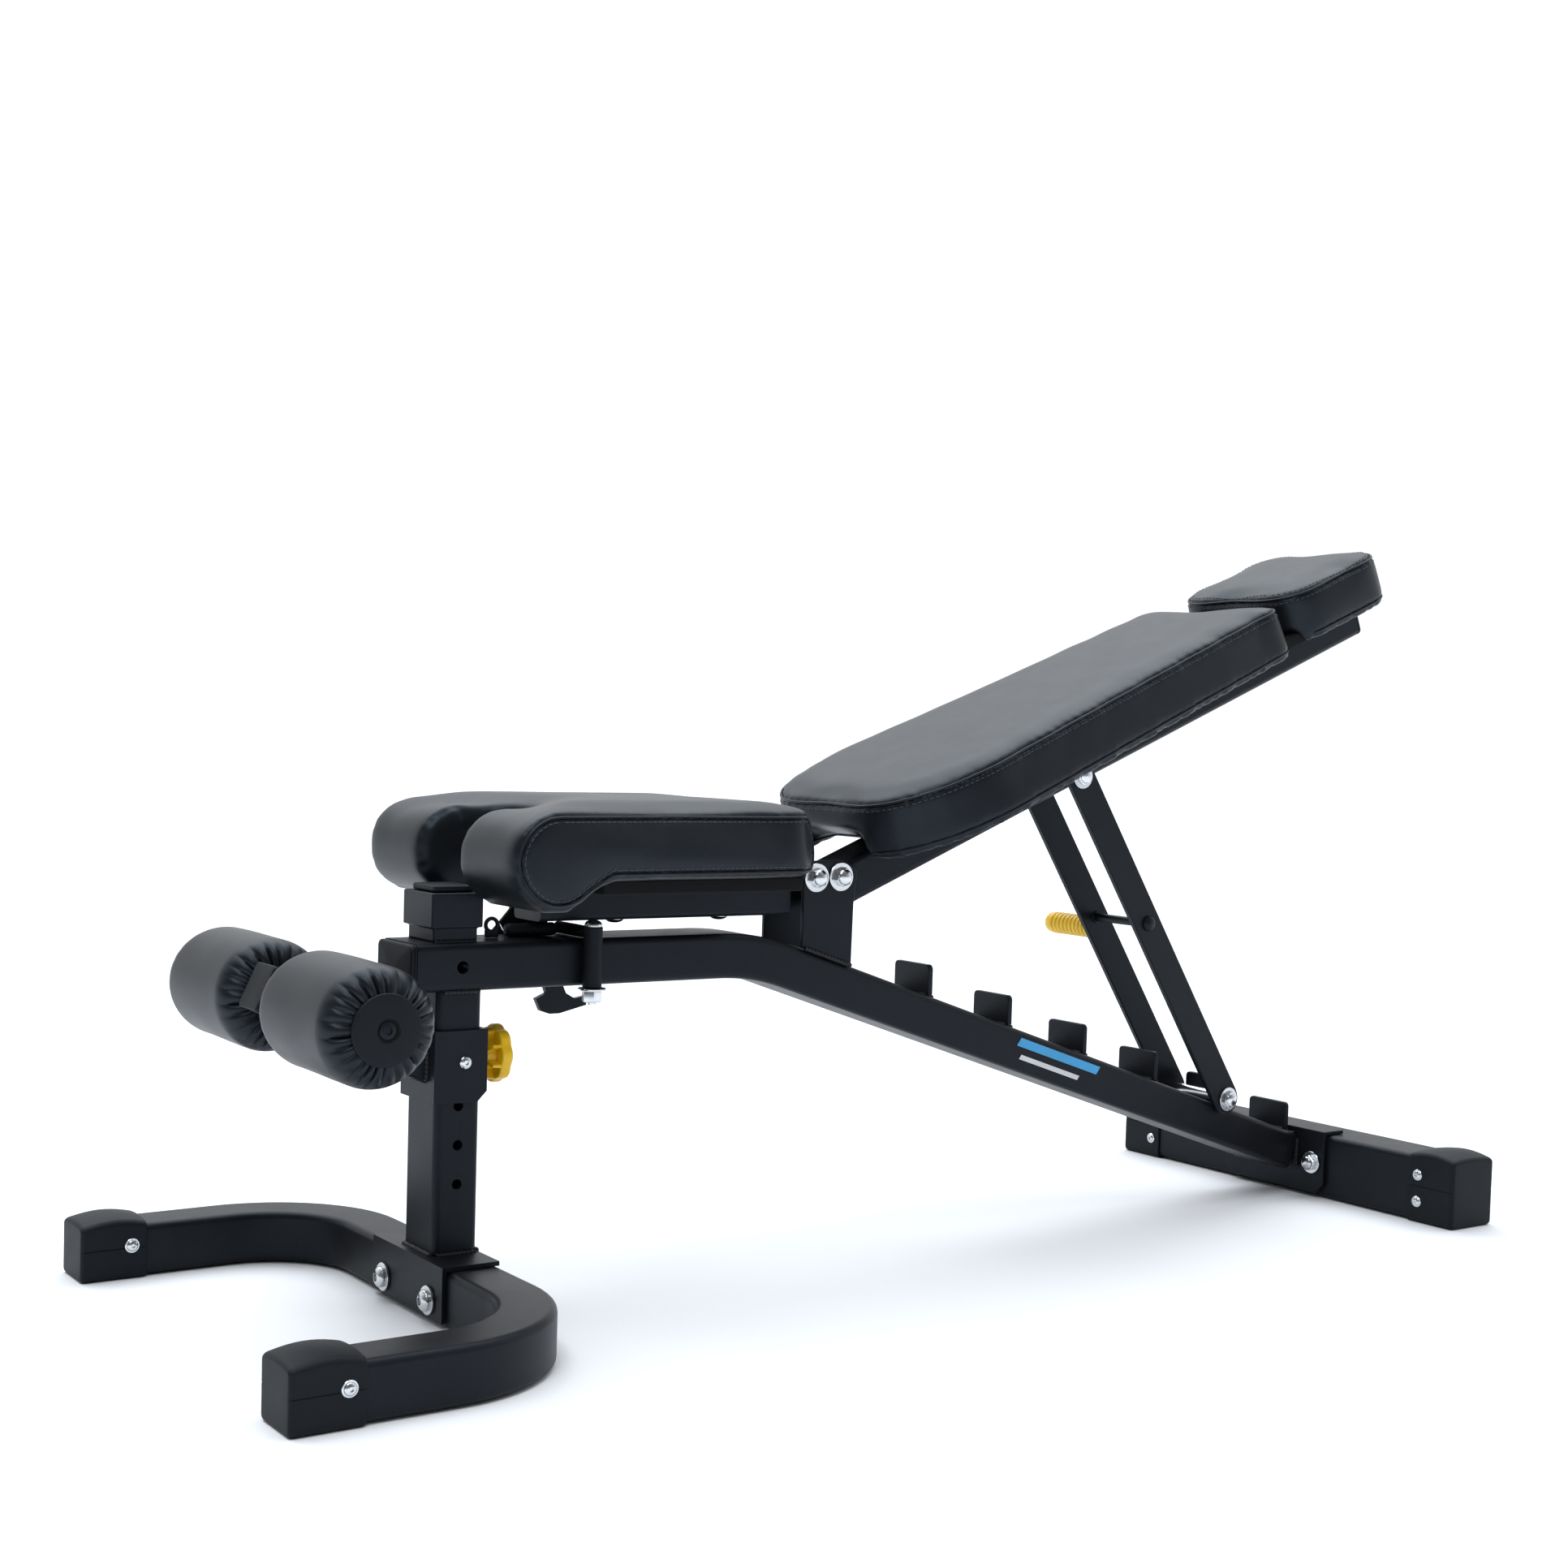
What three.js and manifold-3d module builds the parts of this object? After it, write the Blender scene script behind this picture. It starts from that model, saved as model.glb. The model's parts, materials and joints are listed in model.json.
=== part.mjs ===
// Adjustable weight bench: a bent main beam on a U-shaped front foot and a wide rear foot, a seat and
// a back rest that tilt on one hinge bracket, a prop with six ladder teeth under the back, and leg
// rollers on a carriage that slides on the front post.
// Millimetres, +Z up, +X from the leg rollers to the head end, -Y is the sitter's left.
import * as THREE from 'three';
import { mergeVertices } from 'three/addons/utils/BufferGeometryUtils.js';
import Module from 'manifold-3d';

const wasm = await Module();
wasm.setup();

// ---- Driving dimensions -------------------------------------------------------------------------
const GAP = 0.3; // left between parts that touch
const WALL = 2.5; // steel tube wall
const PLATE = 5; // bracket plate thickness
const ROUND = 20; // sides of a turned part

const BEAM = {
  width: 70, height: 42, top: 322, bendX: 349.4, bendRadius: 260, slopeDeg: 18.6, endX: 1101.4,
};
const POST = {
  x0: 22, x1: 64, halfWidth: 30, foot: 52.8, holeRadius: 5, lowestHole: 113, holePitch: 34, holes: 4,
};
const FRONT_FOOT = { halfWidth: 268, tube: 50, tipX: -190, rearX: 66, bend: 130, low: 1.2, high: 48.2 };
const FRONT_CAP = { tipX: -202, backX: -143, wall: 3, high: 57 };
const SADDLE = { halfWidth: 70, boltY: 45, boltZ: 20, plate: 4 };
const REAR_FOOT = { x0: 1107, x1: 1170, halfLength: 240, low: 1.5, high: 72.5 };
const REAR_CAP = { length: 60, grow: 2.6, high: 80, endY: 250 };
const FLANGE = { halfWidth: 74, boltY: 57, boltZ: 40 };

const SEAT_PIVOT = { x: 410, z: 373 };
const BACK_PIVOT = { x: 438.7, z: 373.5 };
const PIVOT_SHAFT = 6;
const BACK_ANGLE = 22.5; // degrees above level
const HINGE = { inner: 30, outer: 35 };

const TEETH = { count: 6, pitch: 106, lastX: 1087, thickness: 6, height: 31, halfWidth: 28, corner: 5 };
const PROP = {
  u: 316, v: -21.6, barWidth: 35, barIn: 37, barOut: 44, rodAlong: 0.44, gripAlong: 0.475, pin: 7,
};
const PROP_NOTCH = 5; // the ladder tooth that holds the prop, counted from the seat

const CARRIAGE = { low: 184, high: 247, wall: 3.5, slack: 0.5 };
const ARM = { size: 40, angleDeg: 24.7, pastShaft: 31 };
const ROLLER = { x: -95, z: 274, radius: 49, inner: 31, outer: 184, disc: 29, shaft: 10 };
const POP_PIN = { z: 220, barrelEnd: 86, knobEnd: 98, knobRadius: 26, rod: 4, lobes: 8 };

const SEAT = { frontX: 30, rearX: 357, low: 380, high: 441, frontHalf: 150, rearHalf: 138 };
const SEAT_ROLL = { x: 73, z: 398, radius: 43, notchHalf: 37, notchX: 118 };
const SEAT_TUBE = { x0: 121, x1: 388, halfWidth: 25, low: 337, high: 367 };
const ARC = { y0: 36.8, y1: 42.8, inner: 252, outer: 270, heel: 282, holeRadius: 4 };
const SEAT_STOPS = [0, 6, 12]; // degrees the seat front can be locked above level
const LATCH = { radius: 261, z: 341, plateIn: 45, plateOut: 49, rod: 3, barrel: 13, knob: 12 };

const BACK_TUBE = { u0: -12, u1: 797, halfWidth: 25, low: -34.6, high: 7 };
const BACK_PAD = { u0: 21, u1: 604, half0: 142, half1: 108, low: 8, high: 66, nose: 125, corner: 28 };
const HEAD_PAD = { u0: 625, u1: 795, half: 92, corner: 42 };
const BOARD = 13;

// ---- Materials ----------------------------------------------------------------------------------
const colours = {
  frame: { color: 0x16181c, roughness: 0.42, metalness: 0.35 },
  vinyl: { color: 0x101216, roughness: 0.5, metalness: 0 },
  rubber: { color: 0x0c0d0f, roughness: 0.7, metalness: 0 },
  zinc: { color: 0xb9bcc2, roughness: 0.3, metalness: 0.9 },
  yellow: { color: 0xf0b400, roughness: 0.4, metalness: 0 },
  board: { color: 0x5b4630, roughness: 0.8, metalness: 0 },
};
const paint = (name) => new THREE.MeshStandardMaterial(colours[name]);

// ---- Solids -------------------------------------------------------------------------------------
function solid(geometry) {
  const bare = geometry.clone();
  bare.deleteAttribute('normal');
  bare.deleteAttribute('uv');
  const merged = mergeVertices(bare, 1e-4);
  return new wasm.Manifold(new wasm.Mesh({
    numProp: 3,
    vertProperties: new Float32Array(merged.attributes.position.array),
    triVerts: new Uint32Array(merged.index.array),
  }));
}

function geometryOf(manifold) {
  const mesh = manifold.getMesh();
  const geometry = new THREE.BufferGeometry();
  geometry.setAttribute('position', new THREE.BufferAttribute(new Float32Array(mesh.vertProperties), 3));
  geometry.setIndex(new THREE.BufferAttribute(new Uint32Array(mesh.triVerts), 1));
  return geometry;
}

const join = (first, ...rest) => geometryOf(rest.reduce((sum, part) => sum.add(solid(part)), solid(first)));
const cut = (first, ...rest) => (
  geometryOf(rest.reduce((left, part) => left.subtract(solid(part)), solid(first)))
);
const common = (first, second) => geometryOf(solid(first).intersect(solid(second)));

function box(x0, x1, y0, y1, z0, z1) {
  const geometry = new THREE.BoxGeometry(x1 - x0, y1 - y0, z1 - z0);
  return geometry.translate((x0 + x1) / 2, (y0 + y1) / 2, (z0 + z1) / 2);
}

// A cylinder along one axis from a to b; p and q are its other two coordinates in x, y, z order.
function rod(axis, radius, a, b, p, q, sides = ROUND) {
  const geometry = new THREE.CylinderGeometry(radius, radius, b - a, sides);
  if (axis === 'x') return geometry.rotateZ(-Math.PI / 2).translate((a + b) / 2, p, q);
  if (axis === 'y') return geometry.translate(p, (a + b) / 2, q);
  return geometry.rotateX(Math.PI / 2).translate(p, q, (a + b) / 2);
}

// A turned profile of [radius, along] points, along the given axis from the point (x, y, z).
function turned(axis, points, x, y, z, sides = ROUND) {
  const geometry = new THREE.LatheGeometry(points.map(([r, a]) => new THREE.Vector2(r, a)), sides);
  if (axis === 'x') geometry.rotateZ(-Math.PI / 2);
  if (axis === 'z') geometry.rotateX(Math.PI / 2);
  return geometry.translate(x, y, z);
}

function shapeOf(points) {
  return new THREE.Shape(points.map(([a, b]) => new THREE.Vector2(a, b)));
}

const extrude = (shape, depth, curveSegments = 6) =>
  new THREE.ExtrudeGeometry(shape, { depth, bevelEnabled: false, curveSegments });

// A shape drawn in plan (x, y) and raised from z0 to z1.
const plan = (shape, z0, z1, segments) => extrude(shape, z1 - z0, segments).translate(0, 0, z0);

// A shape drawn from the side (x, z) and widened from y0 to y1.
const side = (shape, y0, y1, segments) => (
  extrude(shape, y1 - y0, segments).rotateX(Math.PI / 2).translate(0, y1, 0)
);

// ---- Scene graph --------------------------------------------------------------------------------
const bench = new THREE.Group();
const backRest = new THREE.Group();
backRest.position.set(BACK_PIVOT.x, 0, BACK_PIVOT.z);
backRest.rotation.y = -THREE.MathUtils.degToRad(BACK_ANGLE);
bench.add(backRest);

function place(name, geometry, material, group = bench) {
  const mesh = new THREE.Mesh(geometry, paint(material));
  mesh.name = name;
  group.add(mesh);
}

const sides = [['left', -1], ['right', 1]];

// ---- Main beam ----------------------------------------------------------------------------------
const slope = THREE.MathUtils.degToRad(BEAM.slopeDeg);
const beamTopAt = (x) => BEAM.top - Math.max(0, x - BEAM.bendX) * Math.tan(slope);

// The beam's side outline, drawn in by `inset` from its top and bottom faces.
function beamOutline(inset, startX, endX) {
  const centreX = BEAM.bendX - BEAM.bendRadius * Math.tan(slope / 2);
  const centreZ = BEAM.top - BEAM.bendRadius;
  const outer = BEAM.bendRadius - inset;
  const inner = BEAM.bendRadius - BEAM.height + inset;
  const turn = Math.PI / 2 - slope;
  const slopeEnd = (radius) => {
    const x = centreX + radius * Math.cos(turn);
    const z = centreZ + radius * Math.sin(turn);
    return [endX, z - (endX - x) * Math.tan(slope)];
  };
  const outline = new THREE.Shape();
  outline.moveTo(startX, centreZ + inner);
  outline.lineTo(startX, centreZ + outer);
  outline.absarc(centreX, centreZ, outer, Math.PI / 2, turn, true);
  outline.lineTo(...slopeEnd(outer));
  outline.lineTo(...slopeEnd(inner));
  outline.absarc(centreX, centreZ, inner, turn, Math.PI / 2, false);
  return outline;
}

function mainBeam() {
  const half = BEAM.width / 2;
  const outside = side(beamOutline(0, 0, BEAM.endX), -half, half);
  const inside = side(beamOutline(WALL, -1, BEAM.endX + 1), -half + WALL, half - WALL);
  const sideHole = rod('y', 6, -half - 1, half + 1, 42, BEAM.top - BEAM.height / 2);
  place('main_beam', cut(outside, inside, sideHole), 'frame');
  const low = BEAM.top - BEAM.height;
  const flange = box(-6, -GAP, -half + 0.5, half - 0.5, low + 0.5, BEAM.top - 0.5);
  const stem = box(-1, 18, -half + WALL + GAP, half - WALL - GAP, low + WALL + GAP, BEAM.top - WALL - GAP);
  place('beam_plug', join(flange, stem), 'rubber');
}

// ---- Front post, foot and saddle ----------------------------------------------------------------
const holeHeights = Array.from({ length: POST.holes }, (_, i) => POST.lowestHole + i * POST.holePitch);
const postX = (POST.x0 + POST.x1) / 2;

function post() {
  const top = BEAM.top - BEAM.height - GAP;
  const outside = box(POST.x0, POST.x1, -POST.halfWidth, POST.halfWidth, POST.foot, top);
  const hollow = POST.halfWidth - WALL;
  const inside = box(POST.x0 + WALL, POST.x1 - WALL, -hollow, hollow, POST.foot - 1, top + 1);
  const past = POST.halfWidth + 1;
  const cross = holeHeights.map((z) => rod('y', POST.holeRadius, -past, past, postX, z, 16));
  const pinHeights = holeHeights.map((z, i) => POP_PIN.z - i * POST.holePitch);
  const rear = pinHeights.map((z) => rod('x', POST.holeRadius, postX, POST.x1 + 1, 0, z, 16));
  place('post', cut(outside, inside, ...cross, ...rear), 'frame');
}

// The plan of the U-shaped foot, drawn in by `inset`, with its arms ending at tipX.
function footOutline(inset, tipX) {
  const outer = FRONT_FOOT.bend - inset;
  const inner = FRONT_FOOT.bend - FRONT_FOOT.tube + inset;
  const cx = FRONT_FOOT.rearX - FRONT_FOOT.bend;
  const cy = FRONT_FOOT.halfWidth - FRONT_FOOT.bend;
  const outline = new THREE.Shape();
  outline.moveTo(tipX, -cy - inner);
  outline.lineTo(tipX, -cy - outer);
  outline.absarc(cx, -cy, outer, -Math.PI / 2, 0, false);
  outline.absarc(cx, cy, outer, 0, Math.PI / 2, false);
  outline.lineTo(tipX, cy + outer);
  outline.lineTo(tipX, cy + inner);
  outline.absarc(cx, cy, inner, Math.PI / 2, 0, true);
  outline.absarc(cx, -cy, inner, 0, -Math.PI / 2, true);
  return outline;
}

function frontFoot() {
  const { low, high, tipX } = FRONT_FOOT;
  const armY = FRONT_FOOT.halfWidth - FRONT_FOOT.tube / 2;
  const outside = plan(footOutline(0, tipX), low, high, 8);
  const inside = plan(footOutline(WALL, tipX - 1), low + WALL, high - WALL, 8);
  const saddleHoles = sides.map(([, s]) => rod('x', 5.4, 0, 80, s * SADDLE.boltY, SADDLE.boltZ, 12));
  place('front_foot', cut(outside, inside, ...saddleHoles), 'frame');
  for (const [name, s] of sides) {
    const reach = FRONT_FOOT.tube / 2 + FRONT_CAP.wall;
    const slack = FRONT_FOOT.tube / 2 + GAP;
    const shell = box(FRONT_CAP.tipX, FRONT_CAP.backX, s * armY - reach, s * armY + reach, 0, FRONT_CAP.high);
    const pocket = box(
      tipX - GAP, FRONT_CAP.backX + 1, s * armY - slack, s * armY + slack, low - GAP, high + GAP,
    );
    place(`front_cap_${name}`, cut(shell, pocket), 'rubber');
  }
}

function saddle() {
  const { halfWidth, plate, boltY, boltZ } = SADDLE;
  const frontX = FRONT_FOOT.rearX - FRONT_FOOT.tube - GAP;
  const top = FRONT_FOOT.high + GAP;
  const upright = box(frontX - plate, frontX, -halfWidth, halfWidth, 5, top + plate);
  const shelf = box(frontX - plate, FRONT_FOOT.rearX - 1, -halfWidth, halfWidth, top, top + plate);
  const holes = sides.map(([, s]) => rod('x', 5.4, 0, 30, s * boltY, boltZ, 12));
  place('saddle_bracket', cut(join(upright, shelf), ...holes), 'frame');
  for (const [name, s] of sides) {
    const face = frontX - plate - GAP;
    const profile = [
      [0, -10], [7, -9], [9.6, -5], [10, -2.5], [14, -2.5], [14, 0], [5, 0], [5, 55.6],
      [13, 55.6], [13, 58], [9, 58], [9, 66], [0, 66],
    ];
    place(`saddle_bolt_${name}`, turned('x', profile, face, s * boltY, boltZ), 'zinc');
  }
}

// ---- Attachment receiver and eye on top of the beam's front end ---------------------------------
function receiver() {
  const base = BEAM.top + GAP;
  const tube = box(18.5, 60, -25, 25, base, base + 20);
  const collar = box(15, 63.3, -29, 29, base + 12, base + 42);
  const bore = box(21.5, 57, -22, 22, base - 1, base + 43);
  place('receiver', cut(join(tube, collar), bore), 'frame');
  const lid = box(19.5, 59, -24, 24, base + 42 + GAP, base + 49);
  const stem = box(21.5 + GAP, 57 - GAP, -22 + GAP, 22 - GAP, base + 20, base + 43);
  place('receiver_plug', join(lid, stem), 'rubber');
  const ring = rod('y', 7.5, -2, 2, 86, base + 11);
  const foot = box(78, 94, -2, 2, base, base + 8);
  place('eye_bracket', cut(join(ring, foot), rod('y', 4.3, -3, 3, 86, base + 11)), 'frame');
}

// ---- Hinge bracket ------------------------------------------------------------------------------
function hinge() {
  const lift = 0.5;
  const outline = shapeOf([
    [396.5, beamTopAt(396.5) + lift], [455, beamTopAt(455) + lift], [456, 347], [460, 382],
    [442, 389], [404, 389], [396.5, 368],
  ]);
  const pivots = [SEAT_PIVOT, BACK_PIVOT];
  for (const [name, s] of sides) {
    const y0 = Math.min(s * HINGE.inner, s * HINGE.outer);
    const holes = pivots.map(({ x, z }) => rod('y', PIVOT_SHAFT + GAP, y0 - 1, y0 + 6, x, z));
    place(`hinge_plate_${name}`, cut(side(outline, y0, y0 + PLATE), ...holes), 'frame');
  }
  const face = HINGE.outer + GAP;
  const r = PIVOT_SHAFT;
  const profile = [
    [0, -face - 11], [6, -face - 9.5], [9, -face - 6], [9, -face - 2.5], [13.8, -face - 2.5], [13.8, -face],
    [r, -face], [r, face], [13.8, face], [13.8, face + 2.5], [9, face + 2.5], [9, face + 9], [0, face + 9],
  ];
  place('seat_pivot_bolt', turned('y', profile, SEAT_PIVOT.x, 0, SEAT_PIVOT.z), 'zinc');
  place('back_pivot_bolt', turned('y', profile, BACK_PIVOT.x, 0, BACK_PIVOT.z), 'zinc');
}

// ---- Ladder teeth and rear foot -----------------------------------------------------------------
const toothX = (number) => TEETH.lastX - (TEETH.count - number) * TEETH.pitch;

// A bar along x whose top corners are rounded; it trims a tooth to shape.
function roundedEnds(x, high) {
  const { halfWidth: h, corner: c, thickness } = TEETH;
  const face = new THREE.Shape();
  face.moveTo(h, -60);
  face.lineTo(h, -c);
  face.absarc(h - c, -c, c, 0, Math.PI / 2, false);
  face.absarc(-h + c, -c, c, Math.PI / 2, Math.PI, false);
  face.lineTo(-h, -60);
  const bar = extrude(face, thickness + 2).rotateX(Math.PI / 2).rotateZ(Math.PI / 2);
  return bar.translate(x - 1, 0, high);
}

function ladder() {
  for (let number = 1; number <= TEETH.count; number += 1) {
    const x = toothX(number);
    const low = beamTopAt(x) + 0.4;
    const high = beamTopAt(x) + TEETH.height;
    const blank = box(x, x + TEETH.thickness, -TEETH.halfWidth, TEETH.halfWidth, low, high);
    place(`ladder_tooth_${number}`, common(blank, roundedEnds(x, high)), 'frame');
  }
}

function rearFoot() {
  const { x0, x1, halfLength, low, high } = REAR_FOOT;
  const { halfWidth, boltY, boltZ } = FLANGE;
  const outside = box(x0, x1, -halfLength, halfLength, low, high);
  const inside = box(x0 + WALL, x1 - WALL, -halfLength - 1, halfLength + 1, low + WALL, high - WALL);
  const holes = sides.map(([, s]) => rod('x', 5.4, x0 - 1, x1 + 1, s * boltY, boltZ, 12));
  place('rear_foot', cut(outside, inside, ...holes), 'frame');
  for (const [name, s] of sides) {
    const end = s * REAR_CAP.endY;
    const mouth = s * (REAR_CAP.endY - REAR_CAP.length);
    const tubeEnd = s * (halfLength + GAP);
    const grow = REAR_CAP.grow;
    const shell = box(x0 - grow, x1 + grow, Math.min(end, mouth), Math.max(end, mouth), 0, REAR_CAP.high);
    const pocket = box(
      x0 - GAP, x1 + GAP, Math.min(tubeEnd, mouth - s), Math.max(tubeEnd, mouth - s), low - GAP, high + GAP,
    );
    place(`rear_cap_${name}`, cut(shell, pocket), 'rubber');
  }
  const plateX = BEAM.endX + GAP;
  const front = side(shapeOf([[plateX, 5], [x0 - GAP, 5], [x0 - GAP, high + 4.5], [plateX, high + 4.5]]),
    -halfWidth, halfWidth);
  const shelf = box(plateX, x0 + 27, -halfWidth, halfWidth, high + GAP, high + 4.5);
  const corners = sides.map(([, s]) =>
    box(-8, 8, -8, 8, -8, 8).rotateX(Math.PI / 4).translate(plateX, s * halfWidth, 5));
  const boltHoles = sides.map(([, s]) => rod('x', 5.4, plateX - 1, x0 + 1, s * boltY, boltZ, 12));
  place('rear_flange', cut(join(front, shelf), ...corners, ...boltHoles), 'frame');
  const shaftEnd = x1 - plateX + 2 * GAP;
  const profile = [
    [0, -12], [6, -10.5], [9, -7], [9, -2.5], [12.5, -2.5], [12.5, 0], [5, 0], [5, shaftEnd],
    [12.5, shaftEnd], [12.5, shaftEnd + 2.5], [9, shaftEnd + 2.5], [9, shaftEnd + 7], [0, shaftEnd + 7],
  ];
  for (const [name, s] of sides) {
    place(`rear_flange_bolt_${name}`, turned('x', profile, plateX - GAP, s * boltY, boltZ), 'zinc');
  }
}

// ---- Roller carriage ----------------------------------------------------------------------------
const armAngle = THREE.MathUtils.degToRad(ARM.angleDeg);

// A box along the arm: `a` forwards from the roller shaft, `b` above the arm's centre line.
function armBox(a0, a1, half, b) {
  const geometry = box(-a1, -a0, -half, half, -b, b).rotateY(armAngle);
  return geometry.translate(ROLLER.x, 0, ROLLER.z);
}

function carriage() {
  const { low, high, wall, slack } = CARRIAGE;
  const hx = [POST.x0 - slack - wall, POST.x1 + slack + wall];
  const hy = POST.halfWidth + slack + wall;
  const outline = shapeOf([
    [hx[0], low], [hx[1] - 9, low], [hx[1], low + 9], [hx[1], high], [hx[0], high],
  ]);
  const boreY = POST.halfWidth + slack;
  const bore = box(POST.x0 - slack, POST.x1 + slack, -boreY, boreY, low - 1, high + 1);
  const pinHole = rod('x', POP_PIN.rod + 0.5, POST.x1, hx[1] + 1, 0, POP_PIN.z, 16);
  place('carriage_sleeve', cut(side(outline, -hy, hy), bore, pinHole), 'frame');

  const half = ARM.size / 2;
  const outside = armBox(-150, ARM.pastShaft, half, half);
  const inside = armBox(-151, ARM.pastShaft + 1, half - WALL, half - WALL);
  const shaftHole = rod('y', ROLLER.shaft + GAP, -half - 1, half + 1, ROLLER.x, ROLLER.z);
  const behindSleeve = box(hx[0] - GAP, 200, -60, 60, 0, 400);
  place('carriage_arm', cut(outside, inside, shaftHole, behindSleeve), 'frame');
  const lid = armBox(ARM.pastShaft + GAP, ARM.pastShaft + 5, half, half);
  const stem = armBox(ARM.pastShaft - 12, ARM.pastShaft + 1, half - WALL - GAP, half - WALL - GAP);
  place('carriage_arm_cap', join(lid, stem), 'rubber');
  place('roller_shaft', rod('y', ROLLER.shaft, -ROLLER.outer, ROLLER.outer, ROLLER.x, ROLLER.z), 'zinc');

  for (const [name, s] of sides) {
    const { inner: a, outer: b, radius: R, disc: D } = ROLLER;
    const bore = ROLLER.shaft + GAP;
    const profile = [
      [bore, a], [R - 16, a], [R - 5, a + 4], [R, a + 14], [R, b - 14], [R - 5, b - 4], [R - 16, b],
      [bore, b], [bore, a],
    ];
    const roller = new THREE.LatheGeometry(profile.map(([r, y]) => new THREE.Vector2(r, y)), 32);
    if (s < 0) roller.rotateZ(Math.PI);
    place(`roller_${name}`, roller.translate(ROLLER.x, 0, ROLLER.z), 'vinyl');
    const disc = [[0, b + GAP], [D, b + GAP], [D, b + 4], [D - 4, b + 6], [0, b + 6]];
    const cap = new THREE.LatheGeometry(disc.map(([r, y]) => new THREE.Vector2(r, y)), 28);
    if (s < 0) cap.rotateZ(Math.PI);
    place(`roller_end_${name}`, cap.translate(ROLLER.x, 0, ROLLER.z), 'rubber');
  }
}

function popPin() {
  const { z, barrelEnd, knobEnd, knobRadius, rod: r, lobes } = POP_PIN;
  const start = POST.x1 + CARRIAGE.slack + CARRIAGE.wall + GAP;
  const barrel = [
    [7, start], [10, start], [10, barrelEnd], [r + 0.5, barrelEnd], [r + 0.5, barrelEnd - 2],
    [7, barrelEnd - 2], [7, start],
  ];
  place('pop_pin_barrel', turned('x', barrel, 0, 0, z), 'zinc');
  const collar = start + 1;
  const nose = POST.x1 + 0.6;
  const stem = [
    [0, nose], [r, nose], [r, collar], [6.6, collar], [6.6, collar + 1.5], [r, collar + 1.5],
    [r, knobEnd - 4], [0, knobEnd - 4],
  ];
  place('pop_pin_rod', turned('x', stem, 0, 0, z, 16), 'zinc');

  const rim = new THREE.Shape();
  const steps = lobes * 6;
  for (let i = 0; i < steps; i += 1) {
    const turn = (i / steps) * Math.PI * 2;
    const radius = knobRadius - 1.6 + 1.6 * Math.cos(lobes * turn);
    rim[i === 0 ? 'moveTo' : 'lineTo'](radius * Math.cos(turn), radius * Math.sin(turn));
  }
  const knob = extrude(rim, knobEnd - barrelEnd - GAP).rotateY(Math.PI / 2).translate(barrelEnd + GAP, 0, z);
  const socket = rod('x', r + GAP, barrelEnd - 1, knobEnd - 3.6, 0, z, 16);
  place('pop_pin_knob', cut(knob, socket), 'yellow');

  const turns = 4;
  const coil = new THREE.Curve();
  const length = 8;
  coil.getPoint = (t, target = new THREE.Vector3()) => {
    const angle = t * turns * Math.PI * 2;
    return target.set(t * length, 5.5 * Math.cos(angle), 5.5 * Math.sin(angle));
  };
  const wire = new THREE.Shape();
  wire.absarc(0, 0, 0.7, 0, Math.PI * 2, false);
  const spring = new THREE.ExtrudeGeometry(wire, { steps: turns * 10, extrudePath: coil, curveSegments: 3 });
  place('pop_pin_spring', spring.translate(barrelEnd - 3 - length, 0, z), 'zinc');
}

// ---- Seat ---------------------------------------------------------------------------------------
function seatFrame() {
  const { x0, x1, halfWidth, low, high } = SEAT_TUBE;
  const outside = box(x0, x1, -halfWidth, halfWidth, low, high);
  const inside = box(x0 - 1, x1 + 1, -halfWidth + WALL, halfWidth - WALL, low + WALL, high - WALL);
  const strap = box(x1 - 40, SEAT_PIVOT.x - 2, -halfWidth, halfWidth, high - PLATE, high);
  const sleeve = rod('y', 11, -HINGE.inner + GAP, HINGE.inner - GAP, SEAT_PIVOT.x, SEAT_PIVOT.z);
  const bore = rod('y', PIVOT_SHAFT + GAP, -HINGE.inner, HINGE.inner, SEAT_PIVOT.x, SEAT_PIVOT.z);
  place('seat_frame', cut(join(cut(outside, inside), strap, sleeve), bore), 'frame');

  const { x: px, z: pz } = SEAT_PIVOT;
  const at = (radius, deg) => {
    const turn = THREE.MathUtils.degToRad(180 + deg);
    return [px + radius * Math.cos(turn), pz + radius * Math.sin(turn)];
  };
  const steps = 8;
  const topDeg = 4;
  const heelDeg = 23.5;
  const footDeg = 27.5;
  const band = (radius, from, to) =>
    Array.from({ length: steps + 1 }, (_, i) => at(radius, from + ((to - from) * i) / steps));
  const front = band(ARC.outer, topDeg, heelDeg);
  const rear = band(ARC.inner, footDeg - 2, topDeg);
  const heel = [
    at(ARC.heel, heelDeg), at(ARC.heel, footDeg - 1.5), at(ARC.heel - 7, footDeg),
    at(ARC.outer - 4, footDeg + 1),
  ];
  const toe = [[204, 252.5], [204, 261], [192, 259]];
  const outline = shapeOf([...front, ...heel, ...toe, ...rear]);
  const lug = box(143, 157, halfWidth + GAP, ARC.y0 + 1, low + 8, high - 14);
  const pinDeg = THREE.MathUtils.radToDeg(Math.asin((pz - LATCH.z) / LATCH.radius));
  const holes = SEAT_STOPS.map((deg) => {
    const [x, z] = at(LATCH.radius, pinDeg + deg);
    return rod('y', ARC.holeRadius, ARC.y0 - 2, ARC.y1 + 1, x, z, 14);
  });
  place('seat_arc_plate', cut(join(side(outline, ARC.y0, ARC.y1), lug), ...holes), 'frame');
}

// Half-width of the seat pad at x: it narrows from the rolls to the hinge.
const seatHalf = (x) => THREE.MathUtils.mapLinear(x, SEAT.frontX, SEAT.rearX, SEAT.frontHalf, SEAT.rearHalf);

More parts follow.
